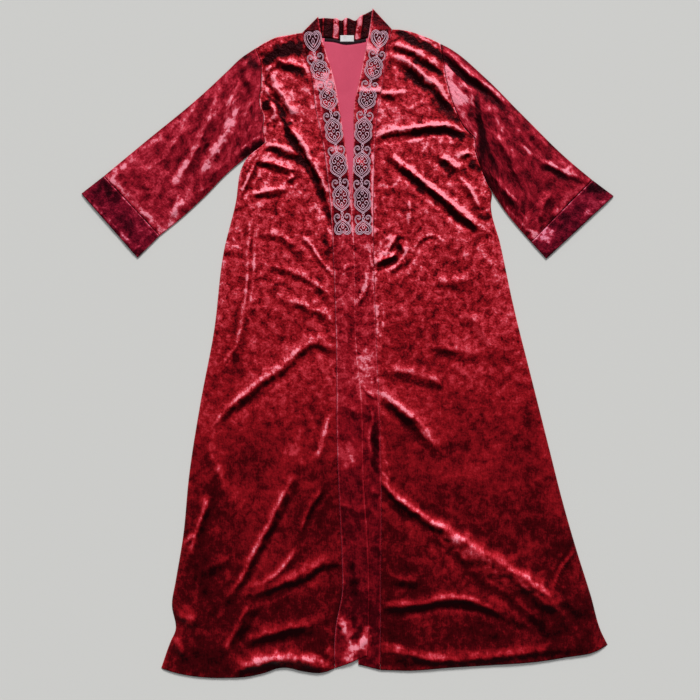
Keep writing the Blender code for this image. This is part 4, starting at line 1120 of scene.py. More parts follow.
# The middle line of the embroidery, through the tips of its hearts
AXIS_RIGHT = (
    (-73.5, 646), (-72, 635), (-68.7, 596.6), (-48.2, 537.1), (-34.9, 476.6), (-24.6, 406.9),
    (-16, 339.3), (-11.3, 269.6), (-9.2, 223), (-8.8, 211),
)
AXIS_LEFT = (
    (68.4, 648), (66.6, 637), (62.5, 603), (48.2, 539.2), (36.9, 477.7), (30.8, 408),
    (28.7, 338.3), (31.8, 266.5), (32.8, 223.5), (33, 212),
)
LAP_START, LAP_FULL = 457.0, 330.0
LAP_RAMP = 0.35
RISE_START, RISE_FULL = 583.0, 607.0

# A band's lines and folds, whether it laps over the other, and its seed
Band = namedtuple("Band", "seam edge axis folds laps seed")
RIGHT_BAND = Band(BAND_SEAM_RIGHT, BAND_EDGE_RIGHT, AXIS_RIGHT, FOLDS_BAND_RIGHT, True, 31)
LEFT_BAND = Band(BAND_SEAM_LEFT, BAND_EDGE_LEFT, AXIS_LEFT, FOLDS_BAND_LEFT, False, 43)


def band_curves(band):
    """A band's seam, one gap away from the front, and its free edge."""
    shift = SEAM_GAP if band.laps else -SEAM_GAP
    return soften(band.seam) + (shift, 0.0), soften(band.edge)


def band_low(x, y, band):
    """Height of a band's under face over the floor."""
    seam, edge = band_curves(band)
    seam_x, edge_x = x_at(seam, y), x_at(edge, y)
    share = np.clip((x - seam_x) / (edge_x - seam_x), 0.0, 1.0)
    low = FRONT_LOW + (BAND_AT_COLLAR - FRONT_LOW) * smooth(y, RISE_START, RISE_FULL)
    if band.laps:
        lapped = 1 - smooth(y, LAP_FULL, LAP_START)
        low = low + (BAND_OVER - FRONT_LOW) * lapped * smooth(share, 0.0, LAP_RAMP)
    wave = BAND_WAVE * lattice_noise(x, y, BAND_WAVE_CELL, band.seed)
    wave = wave + BAND_CRUSH * crinkle(x, y, band.seed + 3)
    relief = np.maximum(wave + fold_relief(x, y, band.folds), 0.0)
    over = soften(BAND_EDGE_RIGHT)
    free = np.ones_like(x) if band.laps else smooth(x - x_at(over, y), *CLEAR_OF_EDGE)
    return low + relief * np.maximum(free, smooth(y, *FREE_ABOVE))


def lay_band(name, band):
    """A band between its seam and its free edge, as a closed wall."""
    seam_curve, edge_curve = band_curves(band)
    height = seam_curve[0, 1] - seam_curve[-1, 1]
    middle_rows = np.linspace(CROWD[-1], height - CROWD[-1], BAND_ROWS)
    down = np.concatenate([CROWD[:-1], middle_rows, height - CROWD[-2::-1]]) / height
    at_seam, at_edge = at_down(seam_curve, down), at_down(edge_curve, down)
    width = np.abs(at_seam[:, 0] - at_edge[:, 0])
    steps = crowd(width, BAND_CELLS)
    across = steps / width[:, None]
    west, east = (at_seam, at_edge) if band.laps else (at_edge, at_seam)
    top_line, hem_line = np.stack([west[0], east[0]]), np.stack([west[-1], east[-1]])
    plan = fill_panel(west, east, top_line, hem_line, across, down)
    x, y = plan[..., 0], plan[..., 1]
    low = band_low(x, y, band)
    rim = np.minimum(steps, width[:, None] - steps)
    ends = np.minimum(down, 1 - down)[:, None] * height
    high = low + DOUBLE_VELVET * rounding(np.minimum(rim, ends))
    # Painted highlight along the band's edges
    shine = np.interp(y, EDGE_DOWN, EDGE_SHINE) * np.exp(-((rim / EDGE_LINE) ** 2))
    # Painted shade on the velvet ground beside the middle line of the embroidery
    middle = np.array(band.axis, dtype=float)
    beside = np.abs(x - x_at(middle, y))
    above = smooth(y - middle[-1][1], *GROUND_FOOT)
    shaded_ground = (1 - smooth(beside, *GROUND_WIDE)) * above
    tone = zone_tone(plan, FOOT_PAINTED_LIGHT + BAND_PAINTED_LIGHT) + shine - EMBROIDERY_GROUND_SHADE * shaded_ground
    return sew_wall(name, plan, low, high, tone)


band_right = lay_band("band_right_cloth", RIGHT_BAND)
band_left = lay_band("band_left_cloth", LEFT_BAND)
tell(band_right, band_left)

# %% [markdown]
# ## The embroidery
#
# A chain of hearts runs down both bands: hearts in pairs, one point up and one
# point down, with two curls between the pairs.  A printed picture would be
# easier, but thread stands up from the velvet.  So each line of the pattern is
# a low satin cord that follows the band's own surface.

# %% Pattern
REPEAT = 71.0
TIP_MARKS = (-40.0, -28.0, 0.0, 71.0, 142.0, 213.0, 284.0, 355.0, 400.0, 412.0)

# Right half of one repeat: across, down.  A mirrored half completes it.
PAIR = (
    (0, 17), (6.2, 22), (12.2, 28), (15.8, 34), (15.8, 39.5), (14.0, 44), (15.6, 48), (16.4, 53),
    (13.8, 59.5), (7.6, 65.5), (0, 71),
)
LONE_HEART = (
    (0, 48), (4, 44.2), (9.2, 42.8), (14.0, 45.8), (16.4, 52), (13.8, 59.5), (7.6, 65.5), (0, 71),
)
SCROLL = (
    (0.3, 65.4), (5.4, 60.8), (9.8, 56), (11.4, 51.6), (10.2, 48.0), (7.0, 47.0), (4.4, 49.0),
    (4.7, 52.2), (7.2, 53.2),
)
LEAF = ((0, 61.8), (2.6, 57.4), (0, 53))
LOZENGE = ((0, 40.4), (2.6, 44), (0, 47.6))
CURL = (
    (10.6, 25.5), (14.8, 20), (16.4, 13.5), (14.2, 8), (9.6, 6.2), (6.0, 9.0), (6.8, 12.8),
    (10, 13.2), (11, 10.8),
)
NECK = ((0, 0), (2.2, 4.5), (0, 8.5), (2.2, 12.5), (0, 17))

Strand = namedtuple("Strand", "line offsets width")
BROAD = Strand(PAIR, (-1.15, 1.15), 1.3)
LONE = Strand(LONE_HEART, (-1.15, 1.15), 1.3)
INNER = (Strand(SCROLL, (0.0,), 1.6), Strand(LEAF, (0.0,), 1.6))
LINK = (Strand(CURL, (-0.85, 0.85), 1.0), Strand(NECK, (0.0,), 1.5))
THREAD_HIGH, THREAD_LIFT = 0.75, 0.05
REPEATS, PAIR_WAIST = 5, 44.0
AXIS_PLACES, AXIS_STEPS, LINE_STEPS = 400, 30, 5


def flip(strand):
    """The strand turned upside down about the waist of a pair."""
    turned = tuple((u, 2 * PAIR_WAIST - v) for u, v in strand.line)
    return Strand(turned, strand.offsets, strand.width)


def pattern():
    """Every strand of the chain, with the place where its repeat starts."""
    waist = Strand(LOZENGE, (0.0,), 1.1)
    pair = (BROAD, *INNER, *(flip(s) for s in INNER), waist)
    chain = [(s, -REPEAT) for s in (LONE, *INNER)]
    for k in range(REPEATS):
        chain += [(s, k * REPEAT) for s in (*LINK, *pair)]
    last = (*LINK, flip(LONE), *(flip(s) for s in INNER))
    chain += [(s, REPEATS * REPEAT) for s in last]
    return chain


def embroider(name, band):
    """All strands of one band as one mesh that lies on the band's surface."""
    marks = np.linspace(TIP_MARKS[0], TIP_MARKS[-1], AXIS_PLACES)
    sideways = soften(np.column_stack([TIP_MARKS, [p[0] for p in band.axis]]), AXIS_STEPS)
    down = soften(np.column_stack([TIP_MARKS, [p[1] for p in band.axis]]), AXIS_STEPS)
    ax, ay = np.interp(marks, *sideways.T), np.interp(marks, *down.T)
    tx, ty = np.gradient(ax), np.gradient(ay)
    size = np.hypot(tx, ty)
    tx, ty = tx / size, ty / size
    points, quads, grain = [], [], []
    count = 0
    for strand, start in pattern():
        line = soften(strand.line, LINE_STEPS)
        way = np.gradient(line, axis=0)
        way /= np.linalg.norm(way, axis=1)[:, None]
        for side in (1.0, -1.0):
            for offset in strand.offsets:
                u = np.maximum(line[:, 0] - offset * way[:, 1], 0.0) * side
                v = line[:, 1] + offset * way[:, 0] + start
                slope = np.gradient(np.column_stack([u, v]), axis=0)
                slope /= np.maximum(np.linalg.norm(slope, axis=1), 1e-6)[:, None]
                gone = np.concatenate(([0.0], np.cumsum(np.hypot(np.diff(u), np.diff(v)))))
                w = strand.width / 2
                ring = []
                for aside, rise in ((-w, 0.0), (-w / 2, 1.0), (w / 2, 1.0), (w, 0.0)):
                    pu, pv = u - aside * slope[:, 1], v + aside * slope[:, 0]
                    cx, cy = np.interp(pv, marks, ax), np.interp(pv, marks, ay)
                    nx, ny = np.interp(pv, marks, -ty), np.interp(pv, marks, tx)
                    x, y = cx + pu * nx, cy + pu * ny
                    z = band_low(x, y, band) + DOUBLE_VELVET + THREAD_LIFT + rise * THREAD_HIGH
                    ring.append(np.column_stack([x, y, z]))
                    grain.append(np.column_stack([np.full_like(gone, aside), gone]))
                n = len(u)
                points += ring
                a = count + np.arange(n - 1)
                for k in range(4):
                    here, there = a + k * n, a + (k + 1) % 4 * n
                    quads.append(np.stack([here, here + 1, there + 1, there], axis=1))
                ends = count + n * np.arange(4)
                quads.append(np.stack([ends, (ends + n - 1)[::-1]]))
                count += 4 * n
    points, quads, grain = np.vstack(points), np.vstack(quads), np.vstack(grain)
    # The thread's tone, with the painted highlights and painted shade of the band
    tone_and_painted_light = zone_tone(points[:, None, :2], BAND_PAINTED_LIGHT).ravel()
    return put_mesh(name, points, quads, grain, tone_and_painted_light)


stitches_right = embroider("embroidery_right", RIGHT_BAND)
stitches_left = embroider("embroidery_left", LEFT_BAND)
tell(stitches_right, stitches_left)

# %% [markdown]
# ## Collar, tape and label
#
# Behind the neck the same strip stands, fallen back, and shows its inner face
# in a few deep pleats.  A narrow dark tape covers the seam, and a small bare
# label is sewn over both.

# %% Collar
Pleat = namedtuple("Pleat", "x height left right lean")
COLLAR_PLEATS = (
    Pleat(-50, 2.0, 3.0, 3.0, 2.0),
    Pleat(-23, 6.0, 6.0, 5.0, 2.0),
    Pleat(-5, 5.0, 3.6, 4.0, 1.0),
    Pleat(23, 6.0, 5.5, 6.0, 6.0),
)
COLLAR_CELLS, COLLAR_ROWS = 150, 34
COLLAR_CRUSH, PLEAT_FOOT, PLEAT_BRIGHT = 0.3, 0.8, 2.6
# Collar tone: painted shade in the pleat hollows and painted highlight on the pleat crests
COLLAR_SHADE, COLLAR_SHINE, COLLAR_UNEVEN, COLLAR_CELL = 0.02, 0.98, 0.10, 6.0


def collar_pleats(x, rise):
    """The pleats at full height, leaning a little."""
    relief = np.zeros_like(x)
    for pleat in COLLAR_PLEATS:
        off = x - pleat.x - pleat.lean * (rise - 0.5)
        width = np.where(off < 0, pleat.left, pleat.right)
        relief += pleat.height * np.exp(-((off / width) ** 2))
    return relief


def collar_relief(x, rise):
    """Pleats that grow from the neck seam to the brim."""
    return collar_pleats(x, rise) * smooth(rise, 0.0, 0.75)


def lay_collar():
    """The collar as a closed wall between the neck seam and the brim."""
    share = np.linspace(0.0, 1.0, COLLAR_CELLS)
    seam = at_fractions(soften(NECK_SEAM), share) + (0.0, SEAM_GAP)
    brim = at_fractions(soften(COLLAR_BRIM), share)
    rise = np.linspace(1.0, 0.0, COLLAR_ROWS)
    plan = rise[:, None, None] * brim + (1 - rise)[:, None, None] * seam
    x, y = plan[..., 0], plan[..., 1]
    crush = COLLAR_CRUSH * crinkle(x, y, 71)
    low = collar_relief(x, rise[:, None]) + crush * rise[:, None]
    length = np.linalg.norm(brim - seam, axis=1)[None, :]
    ends = np.minimum(rise, 1 - rise)[:, None] * length
    # Painted highlights on the pleat crests, painted shade between them
    pleat_highlight = np.clip(collar_pleats(x, rise[:, None]) - PLEAT_FOOT, 0.0, PLEAT_BRIGHT)
    tone = COLLAR_SHADE + COLLAR_SHINE * pleat_highlight / PLEAT_BRIGHT
    tone = tone + COLLAR_UNEVEN * lattice_noise(x, y, COLLAR_CELL, 73)
    return sew_wall("collar_cloth", plan, low, low + COLLAR_TOP * rounding(ends), tone)


TAPE_WIDTH = 6.0
TAPE_ENDS, TAPE_CELLS = (-47.0, 38.0), 60
TAPE_WALL = 1.0
TAPE_DROP = 0.2


def lay_tape():
    """The neck tape: a strip below the neck seam, rounded at both long edges."""
    seam = soften(NECK_SEAM)
    x = np.linspace(*TAPE_ENDS, TAPE_CELLS)
    y = np.interp(x, seam[:, 0], seam[:, 1]) - TAPE_DROP
    drop = np.array([0.0, 0.5, 1.5, 3.0, 4.5, 5.5, TAPE_WIDTH])
    plan = np.stack([np.tile(x, (len(drop), 1)), y[None, :] - drop[:, None]], axis=-1)
    low = np.full(plan.shape[:2], FRONT_LOW)
    full = rounding(np.minimum(drop, TAPE_WIDTH - drop))[:, None]
    return sew_wall("neck_tape_cloth", plan, low, low + TAPE_WALL * full)


LABEL_BOX = (-15.0, 13.0, 616.5, 629.5)
LABEL_WALL = 0.8
LABEL_CELLS, LABEL_ROWS = 40, 20


def lay_label():
    """The label: a small rectangle that follows the collar and the tape."""
    left, right, bottom, top = LABEL_BOX
    columns, rows = np.linspace(left, right, LABEL_CELLS), np.linspace(top, bottom, LABEL_ROWS)
    x, y = np.meshgrid(columns, rows)
    seam, brim = soften(NECK_SEAM), soften(COLLAR_BRIM)
    seam_y = np.interp(x, seam[:, 0], seam[:, 1])
    brim_y = np.interp(x, brim[:, 0], brim[:, 1])
    rise = np.clip((y - seam_y) / (brim_y - seam_y), 0.0, 1.0)
    low = COLLAR_TOP + LAYER_GAP + collar_relief(x, rise)
    rim = np.minimum(np.minimum(x - left, right - x), np.minimum(top - y, y - bottom))
    return sew_wall("label_cloth", np.dstack([x, y]), low, low + LABEL_WALL * rounding(2 * rim))


collar = lay_collar()
tape = lay_tape()
label = lay_label()
tell(collar, tape, label)

# %% [markdown]
# ## Sleeves and cuffs
#
# A sleeve is a tube, pressed flat.  Its section goes round the under layer, up
# a rounded edge, back over the upper layer and down the other edge.  An inner
# section, one wall thickness in, goes the other way, and the two are joined at
# both open ends.

# %% Tubes
SLEEVE_CELLS, SLEEVE_ROWS = 74, 110
CUFF_CELLS, CUFF_ROWS = 74, 22
EDGE_TURNS = 5
SLEEVE_TONE = {"right": 0.51, "left": 0.39}
CUFF_TONE = {"right": 0.43, "left": 0.37}
SLEEVE_GLEAM = 0.35
NOISE_AWAY, GRAIN_SQUEEZE = 400.0, 0.55
SLEEVE_SIDE_CALM, SLEEVE_SEAM_CALM, SLEEVE_SEAM_SHARE = 20.0, 18.0, 0.5
SLEEVE_CRUSH, SLEEVE_SWELL, SLEEVE_SWELL_CELL, SLEEVE_SINK = 0.55, 0.7, 55.0, 1.2
CUFF_CALM, CUFF_CRUSH, CUFF_SWELL, CUFF_SWELL_CELL, CUFF_SINK = 16.0, 0.5, 0.5, 40.0, 1.4


def tube_section(plan, height, inset):
    """Closed rings round a flattened tube: under layer at inset over the floor,
    upper layer at height - inset, and half circles at both edges."""
    across = plan[:, -1] - plan[:, 0]
    across = across / np.linalg.norm(across, axis=1)[:, None]
    radius = height[:, :1] / 2
    turn = np.linspace(0.0, np.pi, EDGE_TURNS + 2)[1:-1]
    bulge = (radius - inset) * np.sin(turn)
    climb = radius - (radius - inset) * np.cos(turn)
    under = np.dstack([plan, np.full(height.shape, float(inset))])
    over = np.dstack([plan, height - inset])[:, ::-1]
    east = np.dstack([plan[:, -1:] + across[:, None] * (bulge - radius)[..., None], climb])
    west = np.dstack([plan[:, :1] - across[:, None] * (bulge - radius)[..., None], climb])
    keep = slice(1, -1)
    return np.concatenate([under[:, keep], east, over[:, keep], west[:, ::-1]], axis=1)


def along_grain(plan):
    """The cloth's own directions on a sleeve: across it, and along it to the cuff."""
    columns = plan.shape[1]
    middle = plan[:, columns // 2]
    gone = np.concatenate(([0.0], np.cumsum(np.linalg.norm(np.diff(middle, axis=0), axis=1))))
    reach = np.linalg.norm(plan[:, -1] - plan[:, 0], axis=1)
    share = np.linspace(-0.5, 0.5, columns)
    return np.stack([share * reach[:, None], np.tile(-gone[:, None], (1, columns))], axis=-1)


def sew_tube(name, plan, height, wall, tones, mirror):
    """A flattened tube of cloth, open at both ends, with a wall between two skins.
    The left one's grid runs the other way, so it is turned to face outwards."""
    grain = along_grain(plan)
    if mirror:
        plan, height, grain = plan[:, ::-1], height[:, ::-1], grain[:, ::-1]
    outer = tube_section(plan, height, 0.0)
    inner = tube_section(plan, height, wall)
    rows, ring = outer.shape[:2]
    count = rows * ring
    r, c = np.meshgrid(np.arange(rows - 1), np.arange(ring), indexing="ij")
    a, far = r * ring + c, r * ring + (c + 1) % ring
    skin = np.stack([a, far, far + ring, a + ring], axis=-1).reshape(-1, 4)
    c = np.arange(ring)
    n, last = (c + 1) % ring, (rows - 1) * ring
    mouth = np.stack([c, c + count, n + count, n], axis=1)
    end = np.stack([last + c, last + n, last + n + count, last + c + count], axis=1)
    faces = np.vstack([skin, skin[:, ::-1] + count, mouth, end])
    flip = grain[:, ::-1]
    turns = EDGE_TURNS
    west, east = np.repeat(grain[:, :1], turns, 1), np.repeat(grain[:, -1:], turns, 1)
    keep = slice(1, -1)
    map_ring = np.concatenate([grain[:, keep], east, flip[:, keep], west], axis=1)
    tone = sleeve_tone(plan, tones["left" if mirror else "right"])
    # The upper layer's tone gets painted highlights and painted shade from its slopes; the under
    # layer keeps the plain tone
    tone_and_painted_light = tone_with_painted_light(plan, height, tone, SLEEVE_GLEAM)
    west, east = np.repeat(tone[:, :1], turns, 1), np.repeat(tone[:, -1:], turns, 1)
    tone_ring_with_light = np.concatenate([tone[:, keep], east, tone_and_painted_light[:, ::-1][:, keep], west], axis=1).ravel()
    return put_mesh(
        name, np.vstack([outer.reshape(-1, 3), inner.reshape(-1, 3)]), faces,
        np.tile(map_ring.reshape(-1, 2), (2, 1)), np.tile(tone_ring_with_light, 2),
    )


def grain_of(x, y, top):
    """Places turned to run down the sleeve, squeezed so creases grow long that way."""
    start, end = np.array(top[0], dtype=float), np.array(top[-1], dtype=float)
    ex, ey = (end - start) / np.linalg.norm(end - start)
    return x * ey - y * ex + NOISE_AWAY, GRAIN_SQUEEZE * (x * ex + y * ey) + NOISE_AWAY


def lay_sleeve(name, armhole, top, foot, cuff_seam, folds, shift, seed, mirror):
    """A sleeve from its armhole to its cuff seam."""
    down = np.concatenate([[0.0, 0.004, 0.010], np.linspace(0.02, 0.98, SLEEVE_ROWS),
                           [0.99, 0.996, 1.0]])
    along_top, along_foot = at_fractions(soften(top), down), at_fractions(soften(foot), down)
    across = np.tile(np.linspace(0.0, 1.0, SLEEVE_CELLS), (len(down), 1))
    hole = soften(armhole) + (shift, 0.0)
    along_top[0], along_foot[0] = hole[0], hole[-1]
    plan = fill_panel(along_top, along_foot, hole, soften(cuff_seam), across, down)
    x, y = plan[..., 0], plan[..., 1]
    width = np.linalg.norm(along_foot - along_top, axis=1)[:, None]
    length = np.linalg.norm(along_top[-1] - along_top[0])
    ends = np.minimum(down, 1 - down)[:, None] * length
    reach = np.minimum(across, 1 - across) * width
    calm = smooth(reach, 0.0, SLEEVE_SIDE_CALM)
    calm = calm * grow(ends, SLEEVE_SEAM_CALM, SLEEVE_SEAM_SHARE)
    crush = SLEEVE_CRUSH * crinkle(*grain_of(x, y, top), seed)
    crush = crush + SLEEVE_SWELL * lattice_noise(x, y, SLEEVE_SWELL_CELL, seed + 9)
    relief = np.maximum(calm * (SLEEVE_LOFT + fold_relief(x, y, folds) + crush), 0.0)
    height = SLEEVE_EDGE + relief - SLEEVE_SINK * (1 - rounding(ends))
    return sew_tube(name, plan, height, SLEEVE_WALL, SLEEVE_TONE, mirror)


def lay_cuff(name, seam, end, seed, mirror):
    """A cuff from its seam to its open end, calm and flat, as double cloth is."""
    share = np.linspace(0.0, 1.0, CUFF_CELLS)
    at_seam, at_end = at_fractions(soften(seam), share), at_fractions(soften(end), share)
    outward = (at_end - at_seam) / np.linalg.norm(at_end - at_seam, axis=1)[:, None]
    at_seam = at_seam + SEAM_GAP * outward
    v = np.concatenate([[0.0, 0.006, 0.018], np.linspace(0.04, 0.96, CUFF_ROWS),
                        [0.982, 0.994, 1.0]])[:, None, None]
    plan = (1 - v) * at_seam + v * at_end
    x, y = plan[..., 0], plan[..., 1]
    width = np.linalg.norm(at_end[-1] - at_end[0])
    reach = (np.minimum(share, 1 - share) * width)[None, :]
    length = np.linalg.norm(at_end[0] - at_seam[0])
    ends = np.minimum(v, 1 - v)[..., 0] * length
    crush = CUFF_CRUSH * crinkle(x, y, seed)
    crush = crush + CUFF_SWELL * lattice_noise(x, y, CUFF_SWELL_CELL, seed + 5)
    relief = np.maximum(smooth(reach, 0.0, CUFF_CALM) * (CUFF_LOFT + crush), 0.0)
    height = CUFF_EDGE + relief - CUFF_SINK * (1 - rounding(ends))
    return sew_tube(name, plan, height, CUFF_WALL, CUFF_TONE, mirror)


sleeve_right = lay_sleeve(
    "sleeve_right_cloth", ARMHOLE_RIGHT, SLEEVE_TOP_RIGHT, SLEEVE_FOOT_RIGHT, CUFF_SEAM_RIGHT,
    SLEEVE_FOLDS_RIGHT, -SEAM_GAP, 57, mirror=False,
)
sleeve_left = lay_sleeve(
    "sleeve_left_cloth", ARMHOLE_LEFT, SLEEVE_TOP_LEFT, SLEEVE_FOOT_LEFT, CUFF_SEAM_LEFT,
    SLEEVE_FOLDS_LEFT, SEAM_GAP, 67, mirror=True,
)
cuff_right = lay_cuff("cuff_right_cloth", CUFF_SEAM_RIGHT, CUFF_END_RIGHT, 83, mirror=False)
cuff_left = lay_cuff("cuff_left_cloth", CUFF_SEAM_LEFT, CUFF_END_LEFT, 89, mirror=True)
tell(sleeve_right, sleeve_left, cuff_right, cuff_left)

# %% [markdown]
# ## Crushed velvet
#
# Velvet pile is laid this way and that by crushing, and each patch sends the
# light somewhere else.  A hair system would be far too heavy here.  Instead one
# group makes the crushed pattern, coarse and fine, with streaks along the
# grain, and gives it out as a tone, a height for bump and a roughness.

# %% Node helpers
def node(tree, kind, x, y, **settings):
    """A node of this kind at this place in the tree, with settings by name."""
    made = tree.nodes.new(kind)
    made.location = (x, y)
    for key, value in settings.items():
        setattr(made, key, value)
    return made


def noise(tree, vector, scale, detail, distortion, x, y):
    """A two-dimensional noise on the vector, at this many features a metre."""
    made = node(tree, "ShaderNodeTexNoise", x, y, noise_dimensions="2D")
    made.inputs["Scale"].default_value = scale
    made.inputs["Detail"].default_value = detail
    made.inputs["Roughness"].default_value = 0.6
    made.inputs["Distortion"].default_value = distortion
    tree.links.new(vector, made.inputs["Vector"])
    return made.outputs["Fac"]


def maths(tree, operation, a, b, x, y):
    """One sum on two values, each a socket or a number."""
    made = node(tree, "ShaderNodeMath", x, y, operation=operation)
    for socket, value in zip(made.inputs, (a, b)):
        if isinstance(value, (int, float)):
            socket.default_value = value
        else:
            tree.links.new(value, socket)
    return made.outputs[0]


def stretch(tree, vector, scale, x, y):
    """The vector scaled along and across the grain."""
    made = node(tree, "ShaderNodeMapping", x, y, vector_type="POINT")
    made.inputs["Scale"].default_value = scale
    tree.links.new(vector, made.inputs["Vector"])
    return made.outputs["Vector"]


def spread(tree, value, low, high, x, y):
    """The value mapped from low..high to 0..1, clamped."""
    made = node(tree, "ShaderNodeMapRange", x, y, clamp=True)
    made.inputs["From Min"].default_value = low
    made.inputs["From Max"].default_value = high
    tree.links.new(value, made.inputs["Value"])
    return made.outputs["Result"]


def centred(tree, vector, kind, x, y):
    """A noise about zero; kind is its features a metre, its detail and its distortion."""
    return maths(tree, "SUBTRACT", noise(tree, vector, *kind, x, y), 0.5, x + 200, y)


def new_material(name):
    """A material with nodes, its tree and its shader."""
    material = bpy.data.materials.new(name)
    material.use_nodes = True
    tree = material.node_tree
    return material, tree, tree.nodes["Principled BSDF"]


def two_colours(tree, value, low, high, x, y):
    """The value sent through two colours, each given as its place and its colour."""
    ramp = node(tree, "ShaderNodeValToRGB", x, y)
    for element, (place, colour) in zip(ramp.color_ramp.elements, (low, high)):
        element.position = place
        element.color = colour
    tree.links.new(value, ramp.inputs["Fac"])
    return ramp.outputs["Color"]


def add_bump(tree, shader, height, distance, x, y):
    """Bump on the shader, from this height over this distance in metres."""
    bump = node(tree, "ShaderNodeBump", x, y)
    bump.inputs["Strength"].default_value = 1.0
    bump.inputs["Distance"].default_value = distance
    tree.links.new(height, bump.inputs["Height"])
    tree.links.new(bump.outputs["Normal"], shader.inputs["Normal"])


# %% The crushed pile group
# Noises of the pile: features a metre, detail, distortion
COARSE, FINE, PATCHES = (64.0, 4.0, 0.25), (230.0, 3.0, 0.2), (25.0, 3.0, 0.6)
LINES, LINE_STRETCH = (1.0, 3.0, 0.6), (430.0, 70.0, 1.0)
COARSE_SHARE, FINE_SHARE, PATCH_SHARE = 1.15, 0.62, 0.45
LINE_SHARE, CRUSH_IN_LINES = 0.32, 0.50
ROUGHNESS, ROUGH_SHARE = 0.44, 0.35


def make_pile_group():
    """Coarse and fine crush, or streaks along the grain, as a Tone about zero, a
    Height for bump and a roughness."""
    tree = bpy.data.node_groups.new("crushed pile", "ShaderNodeTree")
    face = tree.interface
    face.new_socket("Grain", in_out="INPUT", socket_type="NodeSocketVector")
    face.new_socket("Streaks", in_out="INPUT", socket_type="NodeSocketFloat")
    for name in ("Tone", "Height", "Rough"):
        face.new_socket(name, in_out="OUTPUT", socket_type="NodeSocketFloat")
    start = node(tree, "NodeGroupInput", -1500, 0)
    end = node(tree, "NodeGroupOutput", 900, 0)
    grain, streaks = start.outputs["Grain"], start.outputs["Streaks"]
    calm = maths(tree, "SUBTRACT", 1.0, streaks, -1200, -600)
    coarse = centred(tree, grain, COARSE, -1200, 300)
    fine = centred(tree, grain, FINE, -1200, 0)
    patches = centred(tree, grain, PATCHES, -1200, 600)
    patches = maths(tree, "MULTIPLY", patches, PATCH_SHARE, -800, 600)
    coarse = maths(tree, "MULTIPLY", coarse, COARSE_SHARE, -800, 300)
    fine_part = maths(tree, "MULTIPLY", fine, FINE_SHARE, -800, 0)
    crush = maths(tree, "ADD", coarse, fine_part, -600, 200)
    long_way = stretch(tree, grain, LINE_STRETCH, -1300, -300)
    lines = centred(tree, long_way, LINES, -1100, -300)
    lines = maths(tree, "MULTIPLY", lines, LINE_SHARE, -700, -300)
    crush_part = maths(tree, "MULTIPLY", crush, CRUSH_IN_LINES, -600, 0)
    brushed = maths(tree, "ADD", lines, crush_part, -450, -200)
    calm_part = maths(tree, "MULTIPLY", crush, calm, -300, 200)
    streaked_part = maths(tree, "MULTIPLY", brushed, streaks, -300, -200)
    mixed = maths(tree, "ADD", calm_part, streaked_part, -100, 0)
    toned = maths(tree, "ADD", mixed, patches, 100, 200)
    tree.links.new(toned, end.inputs["Tone"])
    tree.links.new(mixed, end.inputs["Height"])
    rough = maths(tree, "MULTIPLY", fine, ROUGH_SHARE, 300, -500)
    rough = maths(tree, "ADD", rough, ROUGHNESS, 500, -500)
    tree.links.new(rough, end.inputs["Rough"])
    return tree


PILE = make_pile_group()

# %% Velvet materials
# The colours from deep to shine: deep and dark carry painted shade, middle is the velvet's own
# colour, bright and shine carry painted highlights
Pile = namedtuple("Pile", "deep dark middle bright shine streaks bump")
STREAK_START, STREAK_FULL = 0.12, -0.25
SHINING_FROM, SHINING_GAIN, LEAST_GAIN = 0.35, 1.6, 0.72
DEEP_AT, DARK_AT, MIDDLE_AT, BRIGHT_AT, SHINE_AT = 0.02, 0.25, 0.5, 0.74, 1.0


def make_velvet(name, pile):
    """Velvet: the tone of each place, with its painted highlights and painted shade,
    and the crushed tone, sent through five colours.
    """
    material, tree, shader = new_material(name)
    grain = node(tree, "ShaderNodeUVMap", -1500, 0, uv_map="grain")
    group = node(tree, "ShaderNodeGroup", -950, 0)
    group.node_tree = PILE
    tree.links.new(grain.outputs["UV"], group.inputs["Grain"])
    if pile.streaks is None:
        parts = node(tree, "ShaderNodeSeparateXYZ", -1350, -200)
        tree.links.new(grain.outputs["UV"], parts.inputs["Vector"])
        share = spread(tree, parts.outputs["Y"], STREAK_START, STREAK_FULL, -1150, -200)
        tree.links.new(share, group.inputs["Streaks"])
    else:
        group.inputs["Streaks"].default_value = pile.streaks
    tone_and_painted_light = node(tree, "ShaderNodeAttribute", -950, 300, attribute_name="tone_and_painted_light")
    shining = maths(tree, "SUBTRACT", tone_and_painted_light.outputs["Fac"], SHINING_FROM, -900, 500)
    shining = maths(tree, "MAXIMUM", shining, 0.0, -750, 500)
    gain = maths(tree, "MULTIPLY", shining, SHINING_GAIN, -600, 500)
    gain = maths(tree, "ADD", gain, LEAST_GAIN, -450, 500)
    crushed = maths(tree, "MULTIPLY", group.outputs["Tone"], gain, -700, 100)
    tone = maths(tree, "ADD", crushed, tone_and_painted_light.outputs["Fac"], -550, 200)
    ramp = node(tree, "ShaderNodeValToRGB", -400, 200)
    steps = ramp.color_ramp.elements
    steps[0].position, steps[0].color = DEEP_AT, pile.deep
    steps[1].position, steps[1].color = SHINE_AT, pile.shine
    between = ((DARK_AT, pile.dark), (MIDDLE_AT, pile.middle), (BRIGHT_AT, pile.bright))
    for place, colour in between:
        steps.new(place).color = colour
    tree.links.new(tone, ramp.inputs["Fac"])
    tree.links.new(ramp.outputs["Color"], shader.inputs["Base Color"])
    tree.links.new(group.outputs["Rough"], shader.inputs["Roughness"])
    add_bump(tree, shader, group.outputs["Height"], pile.bump, -300, -300)
    shader.inputs["Metallic"].default_value = 0.15
    shader.inputs["Specular IOR Level"].default_value = 0.30
    shader.inputs["IOR"].default_value = 1.30
    shader.inputs["Specular Tint"].default_value = (1.0, 0.14, 0.22, 1.0)
    return material


